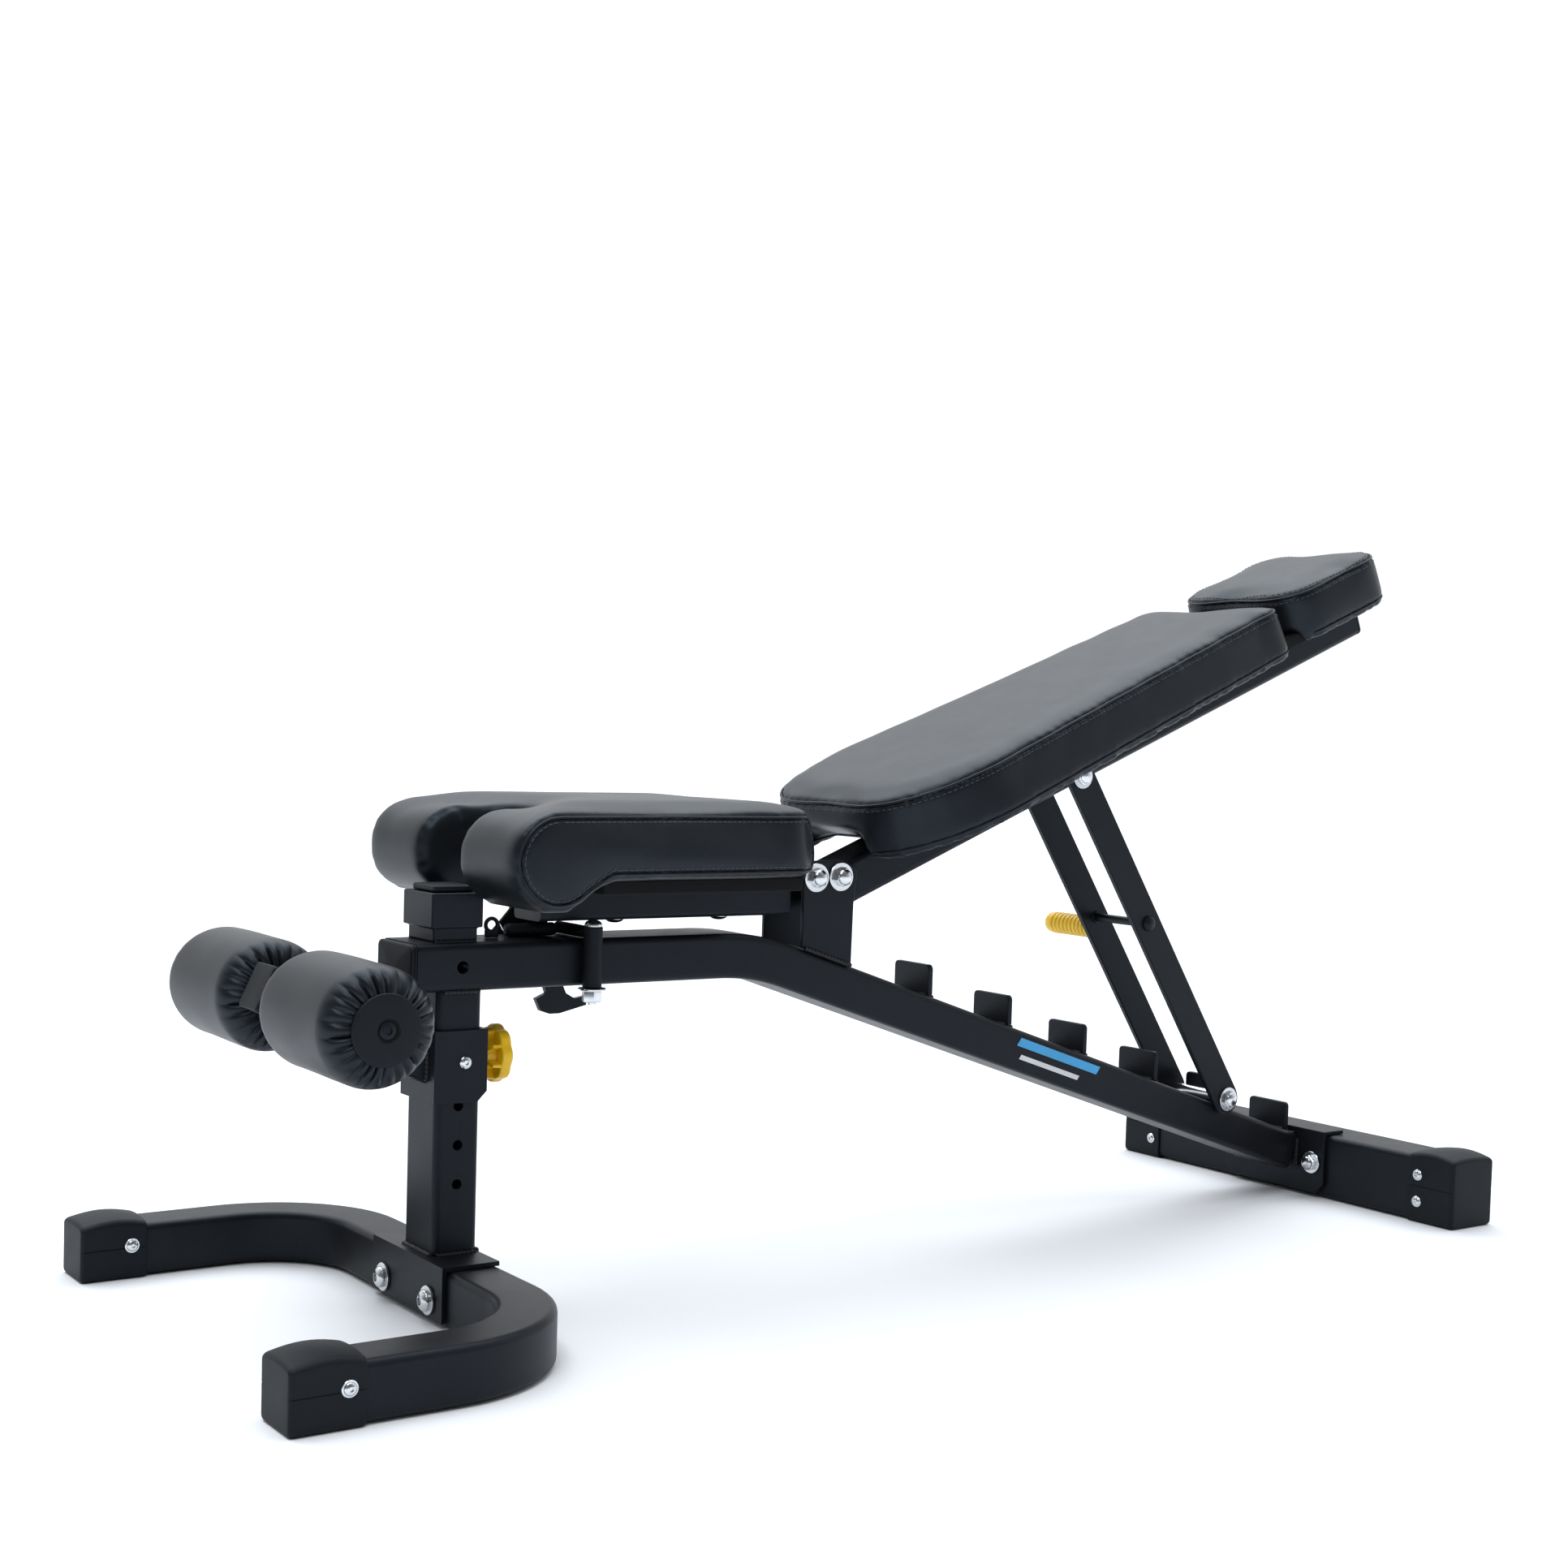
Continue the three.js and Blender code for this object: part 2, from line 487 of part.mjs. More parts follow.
function seatPad() {
  const { x: rx, z: rz, radius, notchHalf, notchX } = SEAT_ROLL;
  const sideView = new THREE.Shape();
  sideView.moveTo(SEAT.rearX - 12, SEAT.high);
  sideView.lineTo(rx, rz + radius);
  sideView.absarc(rx, rz, radius, Math.PI / 2, Math.PI * 1.8, false);
  sideView.lineTo(128, SEAT.low + 0.3);
  sideView.lineTo(SEAT.rearX - 8, SEAT.low + 0.3);
  sideView.lineTo(SEAT.rearX, SEAT.low + 14);
  sideView.lineTo(SEAT.rearX, SEAT.high - 14);
  const block = side(sideView, -160, 160, 10);
  const f = SEAT.frontX - 2;
  const outline = shapeOf([
    [f, -SEAT.frontHalf + 12], [f + 14, -SEAT.frontHalf], [SEAT.rearX - 30, -seatHalf(SEAT.rearX - 30)],
    [SEAT.rearX + 1, -SEAT.rearHalf + 30], [SEAT.rearX + 1, SEAT.rearHalf - 30],
    [SEAT.rearX - 30, seatHalf(SEAT.rearX - 30)], [f + 14, SEAT.frontHalf], [f, SEAT.frontHalf - 12],
  ]);
  const notch = new THREE.Shape();
  notch.moveTo(f - 10, -notchHalf);
  notch.lineTo(notchX - notchHalf, -notchHalf);
  notch.absarc(notchX - notchHalf, 0, notchHalf, -Math.PI / 2, Math.PI / 2, false);
  notch.lineTo(f - 10, notchHalf);
  const pad = common(block, plan(outline, 300, 460));
  place('seat_pad', cut(pad, plan(notch, 300, 460, 8)), 'vinyl');
  const board = shapeOf([
    [130, -118], [SEAT.rearX - 16, -112], [SEAT.rearX - 16, 112], [130, 118],
  ]);
  const low = SEAT_TUBE.high + GAP;
  place('seat_board', plan(board, low, SEAT.low), 'board');
}

// The seat latch: a pull pin in a side plate on the beam, its nose facing the holes of the arc plate.
function seatLatch() {
  const { radius, z, plateIn, plateOut, rod: r } = LATCH;
  const x = SEAT_PIVOT.x - Math.sqrt(radius ** 2 - (SEAT_PIVOT.z - z) ** 2);
  const outline = shapeOf([
    [100, 288], [122, 288], [x + 12, z - 14], [x + 12, z + 8], [x + 4, z + 14], [x - 12, z + 14], [100, 312],
  ]);
  const foot = box(101, 121, BEAM.width / 2 + GAP, plateIn + 1, 289, 311);
  const hole = rod('y', r + 0.5, plateIn - 1, plateOut + 1, x, z, 12);
  place('latch_bracket', cut(join(side(outline, plateIn, plateOut), foot), hole), 'frame');
  const start = plateOut + GAP;
  const end = start + LATCH.barrel;
  const barrel = [[r + 0.5, start], [7, start], [7, end], [r + 0.5, end], [r + 0.5, start]];
  place('latch_barrel', turned('y', barrel, x, 0, z, 16), 'zinc');
  const rodEnd = end + LATCH.knob - 4;
  place('latch_pin', rod('y', r, ARC.y1 + GAP, rodEnd, x, z, 12), 'zinc');
  const far = end + LATCH.knob;
  const gripProfile = [
    [0, end + GAP], [7.5, end + GAP], [11, end + 3], [11, far - 2.5], [8.5, far], [0, far],
  ];
  const grip = turned('y', gripProfile, x, 0, z);
  place('latch_knob', cut(grip, rod('y', r + GAP, end - 1, rodEnd + GAP, x, z, 12)), 'yellow');
  place('spring_cover', rod('x', 6, 99, 150, 0, BEAM.top + GAP + 6, 16), 'rubber');
}

// The bar across the beam that the seat tube comes down on, held by a long upright bolt.
function restBar() {
  const base = BEAM.top + GAP;
  const x = 163;
  const y = -44.5;
  const bar = rod('y', 5.5, y, 20, x, base + 5.6);
  const eyeLow = base - BEAM.height - 0.8;
  const eye = rod('z', 8.5, eyeLow, base + 11.5, x, y);
  place('rest_bar', cut(join(bar, eye), rod('z', 4.4, eyeLow - 1, base + 13, x, y, 12)), 'frame');
  const low = eyeLow - GAP;
  const high = base + 11.5 + GAP;
  const profile = [
    [0, low - 15], [4, low - 15], [4, low - 12.5], [9.5, low - 12.5], [9.5, low - 2], [13, low - 2],
    [13, low], [4, low], [4, high], [8, high], [7, high + 4], [0, high + 6],
  ];
  place('rest_bar_bolt', turned('z', profile, x, y, 0, 16), 'zinc');
}

// ---- Back rest, in its own frame: x along the tube from the pivot, z square to it ---------------
const propFoot = { x: toothX(PROP_NOTCH) - PROP.pin - 0.6, z: 0 };
propFoot.z = beamTopAt(propFoot.x) + (PROP.pin + 0.7) / Math.cos(slope);

function backRestParts() {
  const { u0, u1, halfWidth, low, high } = BACK_TUBE;
  const outside = box(u0, u1, -halfWidth, halfWidth, low, high);
  const inside = box(u0 - 1, u1 + 1, -halfWidth + WALL, halfWidth - WALL, low + WALL, high - WALL);
  const pivotHole = rod('y', PIVOT_SHAFT + GAP, -halfWidth - 1, halfWidth + 1, 0, 0);
  const propHole = rod('y', PIVOT_SHAFT + GAP, -halfWidth - 1, halfWidth + 1, PROP.u, PROP.v);
  place('back_tube', cut(outside, inside, pivotHole, propHole), 'frame', backRest);
  // The board lies in a recess in the underside of both pads; `edge` widens its outline all round.
  const boardOutline = (edge) => {
    const far = HEAD_PAD.u1 - 14 + edge;
    return shapeOf([[70 - edge, -100 - edge], [far, -72 - edge], [far, 72 + edge], [70 - edge, 100 + edge]]);
  };
  place('back_board', plan(boardOutline(0), high + GAP, high + GAP + BOARD), 'board', backRest);
  const recess = plan(boardOutline(1), high - 5, high + GAP * 2 + BOARD);

  const { nose, corner, half0, half1 } = BACK_PAD;
  const a = BACK_PAD.u0;
  const b = BACK_PAD.u1;
  const outline = new THREE.Shape();
  outline.moveTo(a + nose, -half0);
  outline.lineTo(b - corner, -half1);
  outline.absarc(b - corner, -half1 + corner, corner, -Math.PI / 2, 0, false);
  outline.absarc(b - corner, half1 - corner, corner, 0, Math.PI / 2, false);
  outline.lineTo(a + nose, half0);
  outline.bezierCurveTo(a + nose * 0.3, half0, a, half0 * 0.7, a, half0 * 0.3);
  outline.lineTo(a, -half0 * 0.3);
  outline.bezierCurveTo(a, -half0 * 0.7, a + nose * 0.3, -half0, a + nose, -half0);
  const padLow = BACK_PAD.low + GAP;
  const slab = plan(outline, padLow, BACK_PAD.high, 6);
  const wedge = [[a - 5, padLow - 5], [75, padLow - 5], [70, padLow], [18, 44], [a - 5, 44]];
  const relief = side(shapeOf(wedge), -52, 52);
  place('back_pad', cut(slab, relief, recess), 'vinyl', backRest);

  const h = HEAD_PAD;
  const head = new THREE.Shape();
  head.absarc(h.u1 - h.corner, h.half - h.corner, h.corner, 0, Math.PI / 2, false);
  head.absarc(h.u0 + h.corner, h.half - h.corner, h.corner, Math.PI / 2, Math.PI, false);
  head.absarc(h.u0 + h.corner, -h.half + h.corner, h.corner, Math.PI, Math.PI * 1.5, false);
  head.absarc(h.u1 - h.corner, -h.half + h.corner, h.corner, Math.PI * 1.5, Math.PI * 2, false);
  place('head_pad', cut(plan(head, padLow, BACK_PAD.high, 6), recess), 'vinyl', backRest);
}

// ---- Prop ---------------------------------------------------------------------------------------
function prop() {
  const tilt = THREE.MathUtils.degToRad(BACK_ANGLE);
  const top = {
    x: BACK_PIVOT.x + PROP.u * Math.cos(tilt) - PROP.v * Math.sin(tilt),
    z: BACK_PIVOT.z + PROP.u * Math.sin(tilt) + PROP.v * Math.cos(tilt),
  };
  const dx = propFoot.x - top.x;
  const dz = propFoot.z - top.z;
  const along = Math.atan2(dz, dx);
  const half = PROP.barWidth / 2;
  const outline = new THREE.Shape();
  outline.absarc(top.x, top.z, half, along + Math.PI / 2, along + Math.PI * 1.5, false);
  outline.absarc(propFoot.x, propFoot.z, half, along - Math.PI / 2, along + Math.PI / 2, false);
  const bars = sides.map(([, s]) => {
    const y0 = Math.min(s * PROP.barIn, s * PROP.barOut);
    return side(outline, y0, y0 + PROP.barOut - PROP.barIn, 8);
  });
  const rodX = top.x + PROP.rodAlong * dx;
  const rodZ = top.z + PROP.rodAlong * dz;
  const gripX = top.x + PROP.gripAlong * dx;
  const gripZ = top.z + PROP.gripAlong * dz;
  const crossRod = rod('y', 4.5, -PROP.barOut - 3, PROP.barIn + 2, rodX, rodZ, 14);
  const gripRod = rod('y', 4.5, PROP.barIn + 2, PROP.barOut + 70, gripX, gripZ, 14);
  const button = rod('y', 8, -PROP.barOut - 5, -PROP.barOut + 1, rodX, rodZ, 16);
  const holes = [top, propFoot].map(({ x, z }) => rod('y', PIVOT_SHAFT + GAP, -60, 60, x, z, 16));
  place('prop_frame', cut(join(...bars, crossRod, gripRod, button), ...holes), 'frame');

  const gripStart = PROP.barOut + GAP;
  const grip = [
    [4.5 + GAP, gripStart], [12, gripStart], [12, gripStart + 66], [9.5, gripStart + 74], [5, gripStart + 77],
    [0, gripStart + 77.5], [0, gripStart + 71], [4.5 + GAP, gripStart + 71], [4.5 + GAP, gripStart],
  ];
  place('prop_grip', turned('y', grip, gripX, 0, gripZ), 'yellow');

  const r = PIVOT_SHAFT;
  const face = PROP.barOut + GAP;
  const inner = PROP.barIn - GAP;
  const spacer = BACK_TUBE.halfWidth + GAP;
  const topProfile = [
    [0, -face - 9], [9, -face - 9], [9, -face - 2.5], [13, -face - 2.5], [13, -face], [r, -face],
    [r, -inner], [10, -inner], [10, -spacer], [r, -spacer], [r, spacer],
    [10, spacer], [10, inner], [r, inner], [r, face], [13, face], [13, face + 2.5], [9, face + 2.5],
    [9, face + 9], [0, face + 9],
  ];
  place('prop_top_bolt', turned('y', topProfile, top.x, 0, top.z), 'zinc');
  const footProfile = [
    [0, -face - 9], [9, -face - 9], [9, -face - 2.5], [13, -face - 2.5], [13, -face], [r, -face], [r, -inner],
    [PROP.pin, -inner], [PROP.pin, inner], [r, inner], [r, face], [13, face], [13, face + 2.5],
    [9, face + 2.5], [9, face + 9], [0, face + 9],
  ];
  place('prop_foot_pin', turned('y', footProfile, propFoot.x, 0, propFoot.z), 'zinc');
}

// ---- Assembly -----------------------------------------------------------------------------------
mainBeam();
post();
frontFoot();
saddle();
receiver();
hinge();
ladder();
rearFoot();
carriage();
popPin();
seatFrame();
seatPad();
seatLatch();
restBar();
backRestParts();
prop();

// The origin is the middle of the bench's footprint, on the floor.
bench.updateMatrixWorld(true);
const bounds = new THREE.Box3().setFromObject(bench, true);
bench.position.x = -(bounds.min.x + bounds.max.x) / 2;

export default bench;
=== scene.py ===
"""Adjustable weight bench: the looks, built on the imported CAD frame. Metres, +Z up, +X to the head end."""

import json
import math

import bmesh
import bpy
from mathutils import Matrix, Vector
from mathutils.bvhtree import BVHTree
from mathutils.kdtree import KDTree


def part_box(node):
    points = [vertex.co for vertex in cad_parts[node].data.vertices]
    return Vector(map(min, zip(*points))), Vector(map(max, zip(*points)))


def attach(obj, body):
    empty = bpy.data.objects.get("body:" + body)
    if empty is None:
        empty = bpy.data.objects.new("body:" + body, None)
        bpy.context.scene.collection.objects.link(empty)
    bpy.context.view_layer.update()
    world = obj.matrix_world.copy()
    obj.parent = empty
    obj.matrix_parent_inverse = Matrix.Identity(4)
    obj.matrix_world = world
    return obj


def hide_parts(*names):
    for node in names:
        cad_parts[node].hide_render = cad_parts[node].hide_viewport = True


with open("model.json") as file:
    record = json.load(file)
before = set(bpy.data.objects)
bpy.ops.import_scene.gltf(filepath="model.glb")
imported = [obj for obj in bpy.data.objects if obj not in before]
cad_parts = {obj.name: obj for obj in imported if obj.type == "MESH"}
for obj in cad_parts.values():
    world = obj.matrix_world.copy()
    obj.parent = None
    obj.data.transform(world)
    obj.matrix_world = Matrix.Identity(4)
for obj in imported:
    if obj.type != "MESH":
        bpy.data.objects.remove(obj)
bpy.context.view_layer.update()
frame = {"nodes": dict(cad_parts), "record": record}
scene = bpy.context.scene

X = Vector((1, 0, 0))
Y = Vector((0, 1, 0))
Z = Vector((0, 0, 1))

behaviour = frame["record"]["behaviour"]
BODY = {node: body for body, nodes in behaviour["bodies"].items() for node in nodes}
SLOT = {part["node"]: part["material_slot"] for part in frame["record"]["subparts"]}


def span(node):
    """A CAD node's box, as its low corner, its high corner and its middle."""
    low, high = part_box(node)
    return low, high, (low + high) / 2


def middle(node):
    return span(node)[2]


def face(node, out, inset=0.0):
    """The middle of the side of a CAD node's box that looks along out, moved in by inset."""
    low, high, mid = span(node)
    side = high if sum(out) > 0 else low
    return Vector([s if o else m for s, o, m in zip(side, out, mid)]) - out * inset


# ---- Camera
EYE = Vector((-1.2644, -1.6785, 0.5055))
YAW, PITCH, ROLL = 0.62, -0.05, 0.03
LENS, SHIFT_X, SHIFT_Y = 48.9, -0.0167, 0.0387


def add_camera():
    forward = Vector(
        (math.sin(YAW) * math.cos(PITCH), math.cos(YAW) * math.cos(PITCH), math.sin(PITCH))
    )
    right = Vector((math.cos(YAW), -math.sin(YAW), 0))
    up = right.cross(forward)
    rolled_right = math.cos(ROLL) * right + math.sin(ROLL) * up
    rolled_up = math.cos(ROLL) * up - math.sin(ROLL) * right
    data = bpy.data.cameras.new("photo_camera")
    data.sensor_width = 36
    data.lens = LENS
    data.shift_x = SHIFT_X
    data.shift_y = SHIFT_Y
    data.clip_end = 200
    camera = bpy.data.objects.new("photo_camera", data)
    turn = Matrix((rolled_right, rolled_up, -forward)).transposed().to_4x4()
    camera.matrix_world = Matrix.Translation(EYE) @ turn
    scene.collection.objects.link(camera)
    scene.camera = camera


add_camera()


# ---- Materials
def surface(
    name, colour, roughness, grain, metallic=0.0, tint=0.15, blotch=30.0, specular=0.5, tone=(1, 1, 1)
):
    """A material whose colour and roughness vary in blotches; grain is (kind, scale, depth in m)."""
    material = bpy.data.materials.new(name)
    material.use_nodes = True
    nodes = material.node_tree.nodes
    link = material.node_tree.links.new
    shader = nodes["Principled BSDF"]
    shader.inputs["Metallic"].default_value = metallic
    shader.inputs["Specular IOR Level"].default_value = specular
    shader.inputs["Specular Tint"].default_value = (*tone, 1)
    place = nodes.new("ShaderNodeTexCoord").outputs["Object"]

    noise = nodes.new("ShaderNodeTexNoise")
    noise.inputs["Scale"].default_value = blotch
    noise.inputs["Detail"].default_value = 4
    link(place, noise.inputs["Vector"])
    ramp = nodes.new("ShaderNodeValToRGB")
    ramp.color_ramp.elements[0].position = 0.3
    ramp.color_ramp.elements[1].position = 0.7
    ramp.color_ramp.elements[0].color = (*[c * (1 - tint) for c in colour], 1)
    ramp.color_ramp.elements[1].color = (*[min(1, c * (1 + tint)) for c in colour], 1)
    link(noise.outputs["Fac"], ramp.inputs["Fac"])
    link(ramp.outputs["Color"], shader.inputs["Base Color"])

    spread = nodes.new("ShaderNodeMapRange")
    spread.inputs["To Min"].default_value = roughness * 0.88
    spread.inputs["To Max"].default_value = min(1, roughness * 1.12)
    link(noise.outputs["Fac"], spread.inputs["Value"])
    link(spread.outputs["Result"], shader.inputs["Roughness"])

    kind, scale, depth = grain
    if kind == "leather":
        texture = nodes.new("ShaderNodeTexVoronoi")
        texture.feature = "DISTANCE_TO_EDGE"
        height = texture.outputs["Distance"]
    elif kind == "weave":
        texture = nodes.new("ShaderNodeTexWave")
        texture.inputs["Distortion"].default_value = 1.5
        height = texture.outputs["Fac"]
    else:
        texture = nodes.new("ShaderNodeTexNoise")
        texture.inputs["Detail"].default_value = 3
        height = texture.outputs["Fac"]
    texture.inputs["Scale"].default_value = scale
    link(place, texture.inputs["Vector"])
    bump = nodes.new("ShaderNodeBump")
    bump.inputs["Strength"].default_value = 0.6
    bump.inputs["Distance"].default_value = depth
    link(height, bump.inputs["Height"])
    link(bump.outputs["Normal"], shader.inputs["Normal"])
    return material


COOL = (0.72, 0.86, 1.0)  # the bluish cast of the black finishes where they catch the light
LOOKS = {
    "frame": surface(
        "powder_coat", (0.0075, 0.008, 0.0105), 0.42, ("noise", 900, 0.0001), specular=0.2, tone=COOL),
    "vinyl": surface(
        "black_vinyl", (0.006, 0.0066, 0.0085), 0.4, ("leather", 650, 0.00012), specular=0.3, tone=COOL),
    "rubber": surface(
        "moulded_rubber", (0.0075, 0.0078, 0.009), 0.55, ("noise", 1400, 0.0001), specular=0.2, tone=COOL),
    "zinc": surface("zinc_plate", (0.66, 0.68, 0.7), 0.22, ("noise", 500, 0.00004), 1.0, 0.1, 90),
    "yellow": surface("yellow_plastic", (0.86, 0.52, 0.006), 0.36, ("noise", 800, 0.00008), tint=0.06),
    "board": surface("board_cloth", (0.008, 0.008, 0.009), 0.85, ("weave", 500, 0.0002), specular=0.15),
}
THREAD = surface("seam_thread", (0.05, 0.055, 0.065), 0.5, ("noise", 3000, 0.00005), specular=0.35)
WELD = surface("painted_weld", (0.009, 0.0095, 0.012), 0.4, ("noise", 400, 0.0003), specular=0.25)
BLUE = surface("stripe_blue", (0.04, 0.36, 0.72), 0.4, ("noise", 700, 0.00003), tint=0.05)
WHITE = surface("stripe_white", (0.7, 0.71, 0.73), 0.4, ("noise", 700, 0.00003), tint=0.04)


# ---- Mesh helpers
def add_piece(name, bm, body, look, nodes=(), sharp=38, weighted=True):
    """Make an object of bm that rides on body, and stands for the CAD nodes it names."""
    bmesh.ops.recalc_face_normals(bm, faces=bm.faces)
    mesh = bpy.data.meshes.new(name)
    bm.to_mesh(mesh)
    bm.free()
    mesh.shade_smooth()
    mesh.set_sharp_from_angle(angle=math.radians(sharp))
    mesh.materials.append(LOOKS[look] if isinstance(look, str) else look)
    piece = bpy.data.objects.new(name, mesh)
    scene.collection.objects.link(piece)
    if weighted:
        piece.modifiers.new("normals", "WEIGHTED_NORMAL").keep_sharp = True
    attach(piece, body)
    if nodes:
        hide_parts(*nodes)
    return piece


def stand_in(node, bm, *also, look=None, **shading):
    """Make an object of bm in place of a CAD node, and of any others named, on that node's body."""
    return add_piece(f"{node}_visual", bm, BODY[node], look or SLOT[node], [node, *also], **shading)


def quarter(steps):
    return [math.pi / 2 * i / steps for i in range(steps + 1)]


def circle(centre, u, v, radius, count, start=0.0):
    turns = (start + 2 * math.pi * i / count for i in range(count))
    return [centre + (u * math.cos(t) + v * math.sin(t)) * radius for t in turns]


def loft(bm, rings, ends=True, closed=False):
    """Skin rings of points with quads."""
    loops = [[bm.verts.new(p) for p in ring] for ring in rings]
    pairs = list(zip(loops, loops[1:]))
    if closed:
        pairs.append((loops[-1], loops[0]))
    for a, b in pairs:
        for i in range(len(a)):
            j = (i + 1) % len(a)
            bm.faces.new((a[i], a[j], b[j], b[i]))
    if ends and not closed:
        bm.faces.new(loops[0][::-1])
        bm.faces.new(loops[-1])


def rounded_ring(centre, side, up, half_side, half_up, corner, steps=5):
    points = []
    signs = ((1, 1, 0), (-1, 1, 90), (-1, -1, 180), (1, -1, 270))
    for sx, sy, start in signs:
        for i in range(steps + 1):
            t = math.radians(start + 90 * i / steps)
            a = sx * (half_side - corner) + corner * math.cos(t)
            b = sy * (half_up - corner) + corner * math.sin(t)
            points.append(centre + side * a + up * b)
    return points


def soft_box(bm, start, end, side, half_side, half_up, corner, edge, grooves=(), crown=0.0):
    """A rounded bar from start to end; grooves are (distance along, width, depth)."""
    axis = (end - start).normalized()
    up = axis.cross(side).normalized()
    length = (end - start).length
    rounding = [(edge * (1 - math.cos(t)), edge * (1 - math.sin(t))) for t in quarter(4)]
    stations = list(rounding)
    for at, width, depth in grooves:
        stations += [(at - width / 2, 0), (at - width / 6, depth), (at + width / 6, depth)]
        stations.append((at + width / 2, 0))
    stations += [(length - along, inset) for along, inset in reversed(rounding)]
    rings = [
        rounded_ring(start + axis * along, side, up, half_side - inset, half_up - inset,
                     max(corner - inset, 0.0004))
        for along, inset in stations
    ]
    if crown:
        tip = rings[-1]
        centre = sum(tip, Vector()) / len(tip)
        for share in (0.8, 0.5, 0.2):
            lift = crown * (1 - share ** 2)
            rings.append([centre + (p - centre) * share + axis * lift for p in tip])
    loft(bm, rings)


def cap_ring(centre, half_side, half_up, corner, arch, side, inset):
    """A cap's section: a rounded rectangle with an arched top and a parting line at half height."""
    ring = rounded_ring(centre, side, Z, half_side - inset, half_up - inset, max(corner - inset, 0.001), 6)
    points = []
    for i, p in enumerate(ring):
        after = ring[(i + 1) % len(ring)]
        points.append(p)
        if abs((after - p).dot(Z)) > half_up:
            middle_of_side = (p + after) / 2
            inward = (centre - middle_of_side).normalized()
            step = (after - p).normalized() * 0.0009
            points += [middle_of_side - step, middle_of_side + inward * 0.0007, middle_of_side + step]
        elif abs((after - p).dot(side)) > half_side and p.z > centre.z:
            points += [p.lerp(after, k / 8) for k in range(1, 8)]
    for p in points:
        height = p.z - centre.z
        if height > 0:
            across = (p - centre).dot(side) / half_side
            p.z += (arch * (1 - across * across) - arch) * height / half_up
    return points


def foot_cap(bm, mouth, end, side, half_side, half_up):
    """A moulded cap on a foot, from its mouth to its end; its top bows up along its length."""
    axis = (end - mouth).normalized()
    length = (end - mouth).length
    edge, drop = 0.004, 0.0065
    stations = [(0, 0.001), (0.001, 0)] + [(length * i / 10, 0) for i in range(1, 10)]
    stations += [(length - edge + edge * math.sin(t), edge * (1 - math.cos(t))) for t in quarter(4)]
    rings = []
    for at, inset in stations:
        ring = cap_ring(mouth + axis * at, half_side, half_up, 0.0055, 0.003, side, inset)
        sink = drop * (1 - math.sin(math.pi * (0.12 + 0.82 * at / length)))
        for p in ring:
            height = p.z - mouth.z
            if height > 0:
                p.z -= sink * height / half_up
        rings.append(ring)
    tip = rings[-1]
    centre = sum(tip, Vector()) / len(tip)
    rings.append([centre + (p - centre) * 0.5 for p in tip])
    loft(bm, rings)


def turn_basis(axis):
    side = Z if abs(axis.z) < 0.9 else X
    u = axis.cross(side).normalized()
    return u, axis.cross(u).normalized()


def lathe(bm, origin, axis, profile, segments=48):
    """Turn a profile of (radius, along) round the axis; a radius of 0 ends it in a point."""
    u, v = turn_basis(axis)
    loops = []
    for radius, along in profile:
        centre = origin + axis * along
        if radius <= 0:
            loops.append([bm.verts.new(centre)])
            continue
        loops.append([bm.verts.new(p) for p in circle(centre, u, v, radius, segments)])
    for a, b in zip(loops, loops[1:]):
        for i in range(segments):
            j = (i + 1) % segments
            if len(a) == 1:
                bm.faces.new((a[0], b[j], b[i]))
            elif len(b) == 1:
                bm.faces.new((a[i], a[j], b[0]))
            else:
                bm.faces.new((a[i], a[j], b[j], b[i]))


def rod(bm, origin, axis, radius, length, segments=48):
    lathe(bm, origin, axis, [(0, 0), (radius, 0), (radius, length), (0, length)], segments)


def washer(bm, origin, axis, radius, thick):
    """A solid disc with rounded rims."""
    e = 0.0004
    lathe(bm, origin, axis, [
        (0, 0), (radius - e, 0), (radius, e), (radius, thick - e), (radius - e, thick), (0, thick)])


def bush(bm, origin, axis, bore, radius, length):
    """A short pipe with rounded rims."""
    slim, e = radius - 0.0004, 0.0005
    lathe(bm, origin, axis, [
        (bore, 0), (slim, 0), (radius, e), (radius, length - e), (slim, length), (bore, length), (bore, 0)])


def hexagon(bm, origin, axis, radius, thick, turn=0.3):
    u, v = turn_basis(axis)
    rounds = ((0.92, 0), (1, 0.12), (1, 0.85), (0.9, 1))
    loft(bm, [circle(origin + axis * (thick * at), u, v, radius * share, 6, turn) for share, at in rounds])


def dome(bm, origin, axis, radius, height, socket=0.0):
    """A rounded bolt head; socket is the radius of its hexagon recess."""
    steps = 7
    profile = [(0, 0), (radius, 0)]
    last = steps if not socket else steps - 2
    for i in range(last + 1):
        t = math.pi / 2 * i / steps
        profile.append((radius * math.cos(t) if i < steps else 0, height * (0.25 + 0.75 * math.sin(t))))
    if socket:
        top = profile[-1][1]
        profile += [(socket, top), (socket * 0.95, top - height * 0.5), (0, top - height * 0.55)]
    lathe(bm, origin, axis, profile, 40)


def domed_nut(bm, origin, axis, radius, height):
    """A cap nut: a hexagon with a dome on it."""
    hexagon(bm, origin, axis, radius, height * 0.55)
    dome(bm, origin + axis * (height * 0.5), axis, radius * 0.8, height * 0.5)


def fasten(bm, spot, axis, washer_size, head, *head_size):
    """A washer at a spot and, on top of it, a bolt head or a nut."""
    washer(bm, spot, axis, *washer_size)
    head(bm, spot + axis * washer_size[1], axis, *head_size)


